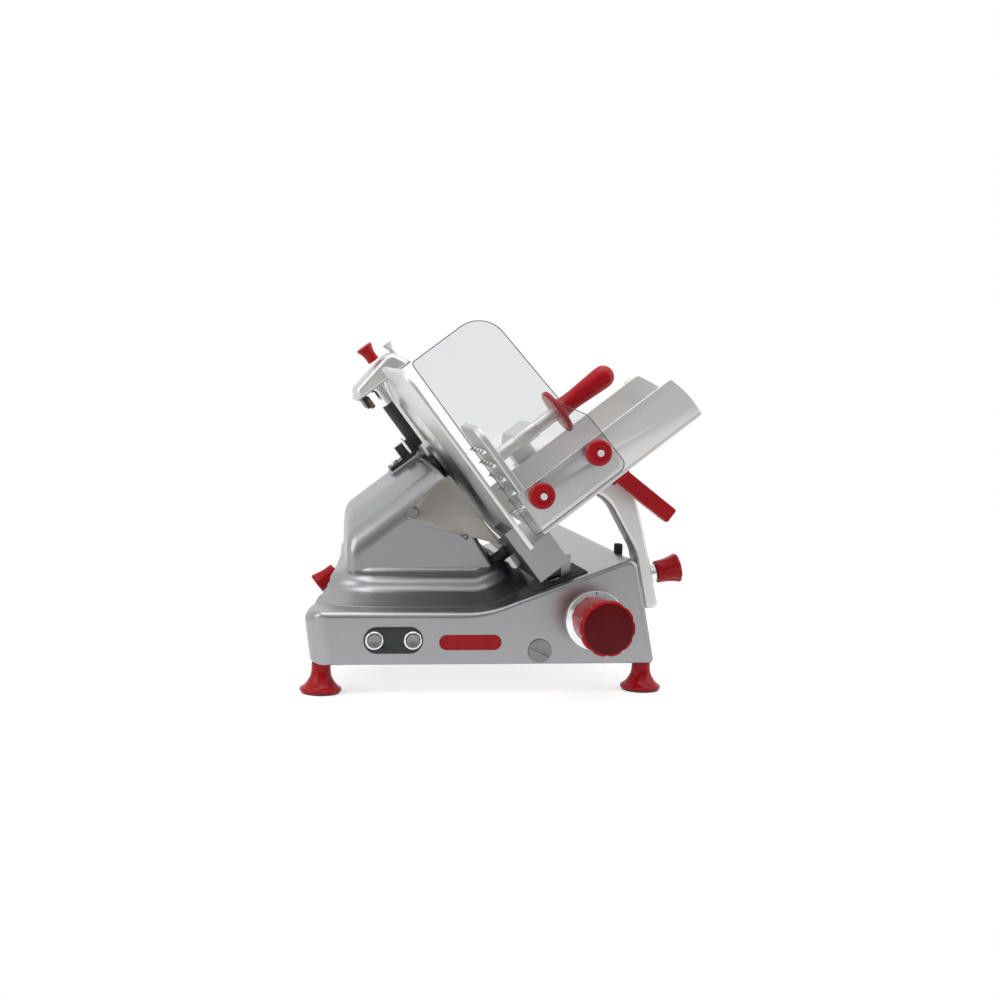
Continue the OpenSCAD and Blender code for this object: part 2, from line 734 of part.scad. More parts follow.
module blade_screws() color(STEEL) at_blade() screw_places() {
    translate([hub_n - flange_t, 0, 0]) rod_n(2.5, flange_t + 3);
    translate([hub_n + 3, 0, 0]) rod_n(4, 1.4);
}

module blade_cover() color(STEEL) at_blade() difference() {
    union() {
        translate([-3, 0, 0]) rod_n(cover_r, 2.8);
        rotate([atan2(tie_t, tie_dy), 0, 0]) translate([0, 0, -ear_w / 2]) linear_extrude(ear_w)
            polygon([[-1, ear_in], [-1, cover_r - 4], [ear_n, cover_r - 4], [ear_n, ring_out + 7],
                [ear_n + ear_t, ring_out + 7], [ear_n + ear_t, ear_in]]);
        translate([ear_n + 0.2, tie_dy, tie_t]) rod_n(ear_w / 2 + 1, ear_t + 0.3);
    }
    translate([-4, tie_dy, tie_t]) rod_n(tie_r + fit, 10);
}

module ring_guard() color(CAST) at_blade() difference() {
    union() {
        translate([ring_n, 0, 0]) difference() {
            rod_n(ring_out, -ring_n - 1);
            translate([-1, 0, 0]) rod_n(ring_r, 4 - ring_n);
            translate([-1, -20 - 2 * ring_out, -ring_out]) cube([4 - ring_n, 2 * ring_out, 2 * ring_out]);
            translate([-1, -ring_out, 0]) cube([4 - ring_n, ring_out + 60, 2 * ring_out]);
        }
        translate([lug_seat_n, tie_dy, tie_t]) rod_n(lug_r, -lug_seat_n - 1);
        translate([top_lug_n, top_lug_dy, top_lug_t]) rod_n(lug_r, -top_lug_n - 1);
    }
    translate([lug_seat_n - 1, tie_dy, tie_t]) rod_n(tie_r + fit, 40);
    translate([ring_n + 5, 0, 0]) rod_n(ring_r, 20);
}

module tie_rod() color(STEEL) at_blade(tie_seat_n - 14, tie_dy, tie_t) rod_n(tie_r, 17.3 - tie_seat_n);

module flared_knob(r0, r1, h) difference() {
    turned_n([[0, 0], [r0 - 1, 0], [r0, 1], [r0 + 0.25 * (r1 - r0), 0.5 * h], [r1, h - 2], [r1 - 2, h],
        [0, h]]);
    for (a = [0 : 45 : 359]) rotate([a, 0, 0]) translate([0.35 * h, 0, r1 + 4.5]) rod_n(6, h);
}

module tie_rod_knob() color(RED) at_blade(tie_seat_n - gap, tie_dy, tie_t) difference() {
    mirror([1, 0, 0]) flared_knob(11, 15, tie_knob_len);
    translate([-15, 0, 0]) rod_n(tie_r + fit, 20);
}

module slice_deflector() color(WARM) place() difference() {
    sheet_y(softened([blade_xz(deflector_n - 22, 8), blade_xz(deflector_n, 6),
        blade_xz(deflector_n, 4 - gauge_foot), [knurl_x + 14, knurl_z - 16], [knurl_x - 8, knurl_z - 8], [knurl_x - 2, knurl_z + 9]],
        [3, 3, 3, 6, 6, 6]), deflector_y, deflector_t);
    deflector_places(deflector_y - 1) rod_y(deflector_pin_r + fit, deflector_t + 2);
}

module deflector_screws() color(STEEL) place() {
    translate([knurl_x, deflector_y - 9, knurl_z]) rod_y(7, 9);
    translate([pin_x, deflector_y - 3, pin_z]) rod_y(5, 3);
    deflector_places(deflector_y - 1) rod_y(deflector_pin_r, 22);
}

motor_xz = blade_xz(pulley_n - motor_len / 2, -motor_drop);
module motor_body() color(DARK) difference() {
    union() {
        at_blade(pulley_n - 3 - motor_len, 0, -motor_drop) rod_n(motor_r, motor_len);
        place() translate([motor_xz[0] - motor_foot_w / 2, blade_y - motor_foot_d / 2, base_z + cover_t])
            cube([motor_foot_w, motor_foot_d, motor_xz[1] - base_z - cover_t - motor_r / 2]);
    }
    at_blade(pulley_n - 22, 0, -motor_drop) rod_n(motor_shaft_r + fit, 20);
}

module motor_shaft() color(STEEL) at_blade(0, 0, -motor_drop) {
    translate([pulley_n - 21, 0, 0]) rod_n(motor_shaft_r, 21 + pulley_w);
    translate([pulley_n, 0, 0]) rod_n(motor_pulley_r, pulley_w);
}

module belt_loop(extra, h) rotate([0, 90, 0]) linear_extrude(h) hull() {
    circle(r = pulley_r + extra, $fn = 32);
    translate([motor_drop, 0]) circle(r = motor_pulley_r + extra, $fn = 32);
}

module drive_belt() color(BLACK) at_blade(pulley_n + 1) difference() {
    belt_loop(gap + 2.2, pulley_w - 2);
    translate([-1, 0, 0]) belt_loop(gap, pulley_w);
}

module cable_gland() color(BLACK) place() translate([gland_x, base_d - wall, gland_z]) difference() {
    union() {
        rod_y(gland_r, wall + gland_out);
        translate([0, wall, 0]) rod_y(gland_r + 4, 8);
    }
    translate([0, -1, 0]) rod_y(gland_bore, wall + gland_out + 2);
}

module carriage_rod() color(STEEL) place() at_carriage_rod(wall + 1) rod_y(rod_r, base_d - 2 * wall - 2);

module carriage_slider() color(CAST) difference() {
    union() {
        at_wall(-rod_in) translate([-rod_r - 8, -slider_w / 2, -rod_r - 3])
            cube([2 * rod_r + 20, slider_w, 2 * rod_r + 7]);
        at_wall(-rod_in + rod_r + 2) rod_n(stud_r, rod_in - rod_r - 2 + stud_len);
    }
    at_wall(-rod_in) translate([0, -slider_w / 2 - 1, 0]) rod_y(rod_r + fit, slider_w + 2);
}

// The arm rises outside the right wall and curves in under the tray
arm_low = shoulder_z;
arm_clear = 4;
arm_w = 20;
arm_n = 88;
arm_seat = 77;
arm_bend = 30;
arm_drop = 33;
arm_top = -tray_drop - fit;
function arm_x(z, d) = wall_x - (z - stud_z) * tan(lean) + d;
arm_outline = [[arm_x(arm_low, arm_clear + arm_w), arm_low], [arm_x(arm_low, arm_clear), arm_low],
    [arm_x(ridge_z + 5, arm_clear), ridge_z + 5], blade_xz(arm_n + arm_bend, -tray_drop - arm_drop),
    blade_xz(arm_n, arm_top), blade_xz(arm_n + arm_seat, arm_top),
    blade_xz(arm_n + arm_seat - 8, -tray_drop - arm_drop - 4),
    [arm_x(ridge_z + 2 * arm_w, arm_w), ridge_z + 2 * arm_w]];

module carriage_arm() color(CAST) difference() {
    union() {
        place() sheet_y(softened(arm_outline, [3, 3, 26, 40, 0, 0, 20, 30]), arm_y - arm_t / 2, arm_t);
        at_wall(arm_face - 10) rod_n(11, boss_face - arm_face + 10);
    }
    at_wall(0) rod_n(stud_r + fit, boss_face + 1);
}

module lock_knob() color(RED) at_wall(boss_face + gap) difference() {
    flared_knob(14.5, lock_r, knob_len);
    translate([-1, 0, 0]) rod_n(stud_r + fit, stud_len - boss_face + 1.5);
}

module tray_floor() color(SHEET) at_blade(tray_near, -tray_front - blade_y, -tray_drop) {
    cube([tray_far - tray_near, tray_w, tray_t]);
    for (i = [1 : 10]) translate([4, i * tray_w / 11 - 2, tray_t - 1])
        cube([tray_far - tray_near - 8, 4, 2.5]);
}

// Studs on the near wall carry the guard
module tray_near_wall() color(SHEET) at_blade() {
    translate([0, -blade_y, 0]) sheet_y(softened([[tray_near, tray_t - tray_drop],
        [tray_near, near_h - tray_drop], [tray_far - 8, near_h - tray_drop],
        [tray_far + 1, near_h / 2 - tray_drop], [tray_far, tray_t - tray_drop]], [0, 4, 3, 20, 0]),
        -tray_front, tray_t);
    for (k = [0, 1]) translate([guard_knob_n + k * guard_knob_pitch, -blade_y, -guard_knob_drop]) {
        translate([0, -tray_front - guard_gap, 0]) rod_y(8, guard_gap + 1);
        translate([0, y_min, 0]) rod_y(guard_stud_r, 1 - tray_front - y_min);
    }
}

// Lugs on the far wall carry the press rod
module tray_far_wall() color(SHEET) at_blade() difference() {
    union() {
        translate([0, far_y - blade_y - tray_t, 0]) sheet_y(softened([[tray_near, tray_t - tray_drop],
            [tray_near, far_h - tray_drop], [tray_far + 6, far_h - tray_drop],
            [tray_far + 22, tray_t + 12 - tray_drop], [tray_far + 20, tray_t - tray_drop]], [0, 4, 4, 4, 0]),
            0, tray_t);
        for (n = [near_lug_n, far_lug_n])
            translate([n, far_y - blade_y - 1, -press_rod_drop - press_rod_r - 5])
                cube([press_lug, press_rod_y - far_y + 1 + press_rod_r + 5, 2 * press_rod_r + 10]);
    }
    translate([near_lug_n - 1, press_rod_y - blade_y, -press_rod_drop]) rod_n(press_rod_r + fit, tray_far);
}

handle_n = 124;
handle_t = 24;
handle_turn = 15.5;
handle_head = 12;
module carriage_handle() color(RED) at_blade(handle_n, -arm_y - blade_y, -tray_drop)
    rotate([0, -handle_turn, 0]) {
        translate([0, 0, -handle_len]) cube([handle_w, handle_t, handle_len - handle_head + 4]);
        rotate([0, handle_turn, 0]) translate([-5, 0, -handle_head])
            cube([handle_w + 8, handle_t, handle_head]);
    }

module guard() color(CLEAR) at_blade(3, 0, 0) difference() {
    translate([0, -blade_y, 0]) sheet_y(softened([[0, -guard_foot], [0, guard_top], [guard_top_w, guard_top],
        [guard_top_w + 12, 22], [guard_foot_w - 4, -6], [guard_foot_w, -guard_foot]],
        [4, 10, 40, 16, 16, 14], 8), guard_y, guard_t);
    for (k = [0, 1])
        translate([guard_knob_n - 3 + k * guard_knob_pitch, guard_y - blade_y - 1, -guard_knob_drop])
            rod_y(guard_stud_r + 2 * fit, guard_t + 2);
}

module guard_knob(k) color(RED)
    at_blade(guard_knob_n + k * guard_knob_pitch, guard_y - guard_knob_d - blade_y, -guard_knob_drop)
        difference() {
            union() {
                rod_y(guard_knob_r - 3, guard_knob_d - gap);
                translate([0, 3, 0]) rod_y(guard_knob_r, guard_knob_d - 7);
            }
            for (a = [0 : 60 : 359]) rotate([0, a, 0]) translate([guard_knob_r + 4, -1, 0])
                rod_y(6, guard_knob_d + 2);
            translate([0, -1, 0]) rod_y(guard_stud_r + fit, guard_knob_d + 2);
        }
module guard_knob_left() guard_knob(0);
module guard_knob_right() guard_knob(1);

module at_press_rod(n) at_blade(n, press_rod_y - blade_y, -press_rod_drop) children();

module press_rod() color(STEEL) at_press_rod(near_lug_n)
    rod_n(press_rod_r, far_lug_n + press_lug - near_lug_n);

module press_slider() color(STEEL) at_press_rod(spool_n) difference() {
    union() {
        rod_n(spool_r, spool_w);
        rod_n(spool_r + 4, spool_flange);
        translate([spool_w - spool_flange, 0, 0]) rod_n(spool_r + 4, spool_flange);
    }
    translate([-1, 0, 0]) rod_n(press_rod_r + fit, spool_w + 2);
}

eye_n = spool_n + spool_flange + gap;
eye_w = spool_w - 2 * spool_flange - 2 * gap;
module press_arm() color(SHEET) difference() {
    union() {
        at_press_rod(eye_n) rod_n(eye_r, eye_w);
        at_press_rod(eye_n) translate([0, -10, 0]) cube([eye_w, 20, press_rod_drop + 10]);
        at_blade(eye_n, press_y - blade_y, -8) cube([eye_w, press_rod_y + 10 - press_y, 18]);
        at_blade(press_n, press_y - blade_y, 0) rod_n(press_tube_r, press_disc_n - press_n);
    }
    at_press_rod(eye_n - 1) rod_n(spool_r + fit, eye_w + 2);
}

module press_plate() color(SHEET) at_blade(0, press_y - blade_y, 0) {
    sheet_n(softened([[-press_w / 2, -press_down], [-press_w / 2, press_up], [press_w / 2, press_up],
        [press_w / 2, -press_down]], [10, 40, 40, 10]), press_n - 9, 9);
    for (y = [-2 : 2], t = [-3 : 1]) translate([press_n - 14, y * 20, t * 21]) rotate([0, 90, 0])
        cylinder(r1 = 0.8, r2 = 4, h = 6);
}

module press_handle() color(RED) at_blade(press_disc_n, press_y - blade_y, 0)
    turned_n(concat([[0, 0], [press_tube_r + 5, 0], [press_disc_r - 1, 1], [press_disc_r, 3],
        [press_disc_r, 5], [press_disc_r - 1, 7], [press_tube_r + 5, 9], [press_tube_r + 4, 14], [12, 18],
        [grip_r, press_handle_len - 22]],
        [for (a = [0 : 15 : 90]) [grip_r * cos(a), press_handle_len - grip_r + grip_r * sin(a)]]));

module sharpener_sleeve() color(BLACK) at_blade() difference() {
    union() {
        translate([-post_n, 0, tower_top + 5]) cylinder(r = post_r + 3, h = sleeve_top - tower_top - 5);
        translate([-70, -14, tower_top + fit]) cube([70 + tower_n - 3, 28, 5]);
        translate([-48, -5, tower_top + fit]) cube([48 - post_n, 10, 22]);
    }
    translate([-post_n, 0, tower_top - 1]) cylinder(r = post_r + fit, h = sleeve_top);
}

module sharpener_post() color(STEEL) at_blade(-post_n) {
    translate([0, 0, post_low]) cylinder(r = post_r, h = roof_t - 4 - post_low);
    translate([0, 0, cap_t - 4]) cylinder(r = post_r + 3, h = 4 + 1 - gap);
}

cap_left = -52;
cap_right = 38;
cap_wall = 3;
button_n = 28;
cap_outline = [[cap_left, cap_t], [cap_left, cap_t + 6], [cap_left + 6, cap_t + cap_h - 12],
    [14, cap_t + cap_h], [26, cap_t + cap_h - 2], [cap_right, cap_t + 4], [cap_right, cap_t]];
module sharpener_cap() color(CAST) at_blade() difference() {
    union() {
        difference() {
            sheet_y(softened(cap_outline, [0, 2, 8, 6, 6, 2, 0], 4), -cap_d / 2, cap_d);
            sheet_y(inset(concat([[cap_left, cap_t - cap_wall]], [for (i = [1 : 5]) cap_outline[i]],
                [[cap_right, cap_t - cap_wall]]), cap_wall), cap_wall - cap_d / 2, cap_d - 2 * cap_wall);
        }
        translate([-post_n, 0, cap_t + 1]) cylinder(r = post_r + 4, h = roof_t - cap_t - 1);
        translate([0, 0, cap_t + 8]) cylinder(r = 8, h = cap_h - 13);
        translate([button_n, 0, cap_t + 6]) cylinder(r = 6, h = cap_h - 15);
    }
    translate([-post_n, 0, cap_t - 1]) cylinder(r = post_r + fit, h = roof_t - 3 - cap_t + 1);
    translate([0, 0, cap_t + 7]) cylinder(r = 4 + fit, h = cap_h);
    translate([button_n, 0, cap_t + 5]) cylinder(r = 3 + fit, h = cap_h);
}

stone_pitch = 22;
module stone_carrier() color(BLACK) at_blade() difference() {
    union() {
        translate([stone_n - stone_w / 2 - 5, -cap_d / 2 + 4, stone_t - 5])
            cube([4, cap_d - 8, cap_t + 8 - stone_t]);
        translate([stone_n - stone_w / 2 - 5, -cap_d / 2 + 3, cap_t]) cube([4, cap_d - 6, 8]);
    }
    for (s = [-1, 1]) translate([stone_n - stone_w / 2 - 6, s * stone_pitch / 2, stone_t]) rod_n(2 + fit, 6);
}

module stone(s) at_blade(stone_n - stone_w / 2, s * stone_pitch / 2, stone_t) {
    translate([gap - 1, 0, 0]) rod_n(stone_r, stone_w);
    translate([-5, 0, 0]) rod_n(2, 8);
}
module grinding_stone() color([0.45, 0.30, 0.24]) stone(-1);
module deburring_stone() color([0.55, 0.52, 0.48]) stone(1);

module sharpener_knob() color(RED) at_blade(0, 0, knob_t + gap) rotate([0, -90, 0]) union() {
    flared_knob(7, 11.5, 24);
    translate([-16, 0, 0]) rod_n(4, 17);
}

module deburr_button() color(STEEL) at_blade(button_n, 0, cap_t + 5) {
    cylinder(r = 3, h = cap_h);
    translate([0, 0, cap_h - 4]) cylinder(r1 = 3.5, r2 = 7, h = 8);
}

base_casting();
bottom_cover();
foot_front_left();
foot_front_right();
foot_rear_left();
foot_rear_right();
control_panel();
button_bezels();
start_button();
stop_button();
control_board();
badge_plate();
access_plug();
dial_ring();
index_knob();
index_shaft();
gauge_seal();
gauge_plate();
gauge_carrier();
gauge_rod();
bearing_housing();
blade_bearings();
blade_shaft();
blade();
blade_screws();
blade_cover();
ring_guard();
tie_rod();
tie_rod_knob();
slice_deflector();
deflector_screws();
motor_body();
motor_shaft();
drive_belt();
cable_gland();
carriage_rod();
carriage_slider();
carriage_arm();
lock_knob();
tray_floor();
tray_near_wall();
tray_far_wall();
carriage_handle();
guard();
guard_knob_left();
guard_knob_right();
press_rod();
press_slider();
press_arm();
press_plate();
press_handle();
sharpener_sleeve();
sharpener_post();
sharpener_cap();
stone_carrier();
grinding_stone();
deburring_stone();
sharpener_knob();
deburr_button();
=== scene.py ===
"""Looks of a tilted-blade food slicer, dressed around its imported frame.

Shapes are drawn in millimetres in a local frame of the machine (bench, blade, dial or carriage stud) and are
then put in place in metres. Places come from the frame's joints, and the finishes are node materials.
"""

import json
import logging
import math
from dataclasses import dataclass
from enum import Enum
from typing import Callable, Sequence

import bmesh
import bpy
from mathutils import Matrix, Vector


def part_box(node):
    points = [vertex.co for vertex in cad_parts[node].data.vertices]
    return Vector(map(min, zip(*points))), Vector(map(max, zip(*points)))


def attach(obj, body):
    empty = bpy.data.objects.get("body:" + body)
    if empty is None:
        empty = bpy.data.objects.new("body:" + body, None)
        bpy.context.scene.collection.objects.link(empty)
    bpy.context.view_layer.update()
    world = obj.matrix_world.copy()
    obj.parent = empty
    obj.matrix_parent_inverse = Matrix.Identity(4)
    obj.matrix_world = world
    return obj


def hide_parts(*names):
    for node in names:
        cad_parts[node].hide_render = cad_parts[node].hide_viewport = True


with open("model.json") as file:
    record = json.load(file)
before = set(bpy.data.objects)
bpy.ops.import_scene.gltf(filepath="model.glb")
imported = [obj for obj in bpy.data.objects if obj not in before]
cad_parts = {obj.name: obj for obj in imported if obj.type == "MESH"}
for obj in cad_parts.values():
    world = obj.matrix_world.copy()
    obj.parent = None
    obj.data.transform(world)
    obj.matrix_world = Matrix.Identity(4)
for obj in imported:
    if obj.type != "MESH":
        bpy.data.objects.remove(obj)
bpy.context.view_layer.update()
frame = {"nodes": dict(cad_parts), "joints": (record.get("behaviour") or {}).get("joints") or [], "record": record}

LOG = logging.getLogger("slicer")
MM = 0.001
RIGHT = Vector((1.0, 0.0, 0.0))
BACK = Vector((0.0, 1.0, 0.0))
ORIGIN = Vector((0.0, 0.0, 0.0))
SMOOTH = 35.0
SMOOTH_TURNED = 40.0
ARC_CHORDS = 10
ARC_SHARE = 0.49
STRAIGHT = math.radians(89.0)
PARALLEL = 1e-4
LEAST_RADIUS = 0.2
WELD = 1e-6
SOLID_WELD = 2e-6
FLAT = math.radians(0.6)
COAT_ROUGHNESS = 0.08
RIB_SIDES = 12
SPIKE_SIDES = 16
SPIKE_TIP = 0.5
RECORD = frame["record"]
JOINTS = {joint["name"]: joint for joint in frame["joints"]}
BODY_OF = {node: body for body, nodes in RECORD["behaviour"]["bodies"].items() for node in nodes}

Point = tuple[float, float]
Corner = tuple[float, float, float]
Socket = bpy.types.NodeSocket
Value = float | Socket


class Directions(Enum):
    """Order in which two places across and one along go to the axes of a local frame."""

    def point(self, u: float, v: float, along: float) -> Vector:
        """Point of the local frame at (u, v) across and a distance along."""
        place = [0.0, 0.0, 0.0]
        for axis, value in zip(self.value, (u, v, along)):
            place[axis] = value
        return Vector(place)


class Plane(Directions):
    """Plane that a flat outline is drawn in; its thickness runs along the third axis."""

    FRONT = (0, 2, 1)
    SIDE = (1, 2, 0)


class Axis(Directions):
    """Axis that a turned shape goes round; the heights of its profile run along it."""

    X = (1, 2, 0)
    Y = (2, 0, 1)
    Z = (0, 1, 2)


def millimetre_frame(origin: Vector, along: Vector, across: Vector) -> Matrix:
    """Matrix from a local frame in millimetres to the part's frame in metres.

    Args:
        origin: Local origin in the part's frame.
        along: Direction of the local X axis.
        across: Direction of the local Y axis, square to X.

    Returns:
        The 4x4 matrix, scale included.
    """
    x_axis = along.normalized()
    y_axis = across.normalized()
    turn = Matrix((x_axis, y_axis, x_axis.cross(y_axis))).transposed().to_4x4()
    return Matrix.Translation(origin) @ turn @ Matrix.Scale(MM, 4)


def joint_point(name: str) -> Vector:
    """A joint's point in the part's frame."""
    return Vector(JOINTS[name]["pos_m"])


def joint_axis(name: str) -> Vector:
    """A joint's axis in the part's frame."""
    return Vector(JOINTS[name]["axis"])


BLADE_CENTRE = joint_point("blade_spin")
BLADE_FROM_LEFT = 202.0
BLADE_BEHIND_FRONT = 250.0
KNOB_SEAT = 31.0
BENCH = millimetre_frame(
    Vector((BLADE_CENTRE.x - BLADE_FROM_LEFT * MM, BLADE_CENTRE.y - BLADE_BEHIND_FRONT * MM, 0.0)), RIGHT, BACK)
BLADE = millimetre_frame(BLADE_CENTRE, joint_axis("blade_spin"), BACK)
STUD = millimetre_frame(
    joint_point("lock_turn") - joint_axis("lock_turn") * KNOB_SEAT * MM, joint_axis("lock_turn"), BACK)
DIAL = millimetre_frame(
    Vector((joint_point("index_turn").x, BENCH.translation.y, joint_point("index_turn").z)), RIGHT, BACK)


def rounded(corners: Sequence[Corner], steps: int = 6) -> list[Point]:
    """Outline whose corners (x, y, radius) are rounded by arcs.

    Args:
        corners: Corners in order, each with its radius.
        steps: Number of chords in each arc.

    Returns:
        The points of the closed outline.
    """
    points: list[Point] = []
    for i, (x, y, radius) in enumerate(corners):
        here = Vector((x, y))
        before = Vector(corners[i - 1][:2]) - here
        after = Vector(corners[(i + 1) % len(corners)][:2]) - here
        half = before.angle(after) / 2
        if radius <= 0.0 or half > STRAIGHT:
            points.append((x, y))
            continue
        reach = min(radius / math.tan(half), ARC_SHARE * before.length, ARC_SHARE * after.length)
        centre = here + (before.normalized() + after.normalized()).normalized() * reach / math.cos(half)
        first = here + before.normalized() * reach - centre
        last = here + after.normalized() * reach - centre
        sweep = math.atan2(first.cross(last), first.dot(last))
        for k in range(steps + 1):
            turned = Matrix.Rotation(sweep * k / steps, 2) @ first
            points.append(tuple(centre + turned))
    return points


def drawn_in(corners: Sequence[Corner], by: Sequence[float]) -> list[Corner]:
    """Corners of an outline whose edges are moved inwards, each by its own distance.

    Args:
        corners: Corners in order, each with its radius.
        by: Distance for the edge from each corner to the next; a negative one moves it outwards.

    Returns:
        The new corners, with radii that keep the rounding even.
    """
    places = [Vector(corner[:2]) for corner in corners]
    area = sum(p.cross(q) for p, q in zip(places, [*places[1:], places[0]]))
    side = math.copysign(1.0, area)
    moved: list[Corner] = []
    for i, here in enumerate(places):
        first = (here - places[i - 1]).normalized()
        last = (places[(i + 1) % len(places)] - here).normalized()
        turn = first.cross(last)
        start = Vector((-first.y, first.x)) * side * by[i - 1]
        end = Vector((-last.y, last.x)) * side * by[i]
        if abs(turn) < PARALLEL:
            place = here + end
        else:
            place = here + start + first * ((end - start).cross(last) / turn)
        bend = math.copysign(1.0, turn * side)
        moved.append((place.x, place.y, max(LEAST_RADIUS, corners[i][2] - bend * (by[i - 1] + by[i]) / 2)))
    return moved


def eased(distance: float, radius: float) -> float:
    """How far an edge of a radius lies inside its outline, at a distance from the face it rounds into."""
    left = max(0.0, radius - distance)
    return radius - math.sqrt(radius * radius - left * left)


def rounding_depths(radii: Sequence[float], steps: int) -> list[float]:
    """Distances from a face at which its rounded edges are drawn, from the face inwards."""
    turns = [math.radians(90.0 * i / steps) for i in range(steps + 1)]
    return sorted({round(radius * (1 - math.cos(a)), 4) for radius in radii for a in turns})


def smooth_through(points: Sequence[Point], steps: int = 5) -> list[Point]:
    """Smooth open curve through points, for a turned or swept profile."""
    padded = [points[0], *points, points[-1]]
    curve: list[Point] = []
    for a, b, c, d in zip(padded, padded[1:], padded[2:], padded[3:]):
        for k in range(steps):
            s = k / steps
            curve.append(tuple(0.5 * (2 * b[i] + (c[i] - a[i]) * s + (2 * a[i] - 5 * b[i] + 4 * c[i] - d[i]) * s * s
                                      + (3 * b[i] - a[i] - 3 * c[i] + d[i]) * s ** 3) for i in range(2)))
    return [*curve, points[-1]]


@dataclass(frozen=True)
class Fluting:
    """Grip flutes round a turned piece.

    Attributes:
        count: Number of flutes.
        depth: Depth of a flute.
        start: Height along the axis where the flutes begin.
        full: Height where they reach their depth.
        sharpness: Power that narrows the flutes.
    """

    count: int
    depth: float
    start: float
    full: float
    sharpness: float = 2.0

    def cut(self, angle: float, height: float) -> float:
        """Depth of the flutes at an angle and a height."""
        rise = min(1.0, max(0.0, (height - self.start) / (self.full - self.start)))
        wave = 0.5 + 0.5 * math.cos(self.count * angle)
        return self.depth * rise * wave ** self.sharpness


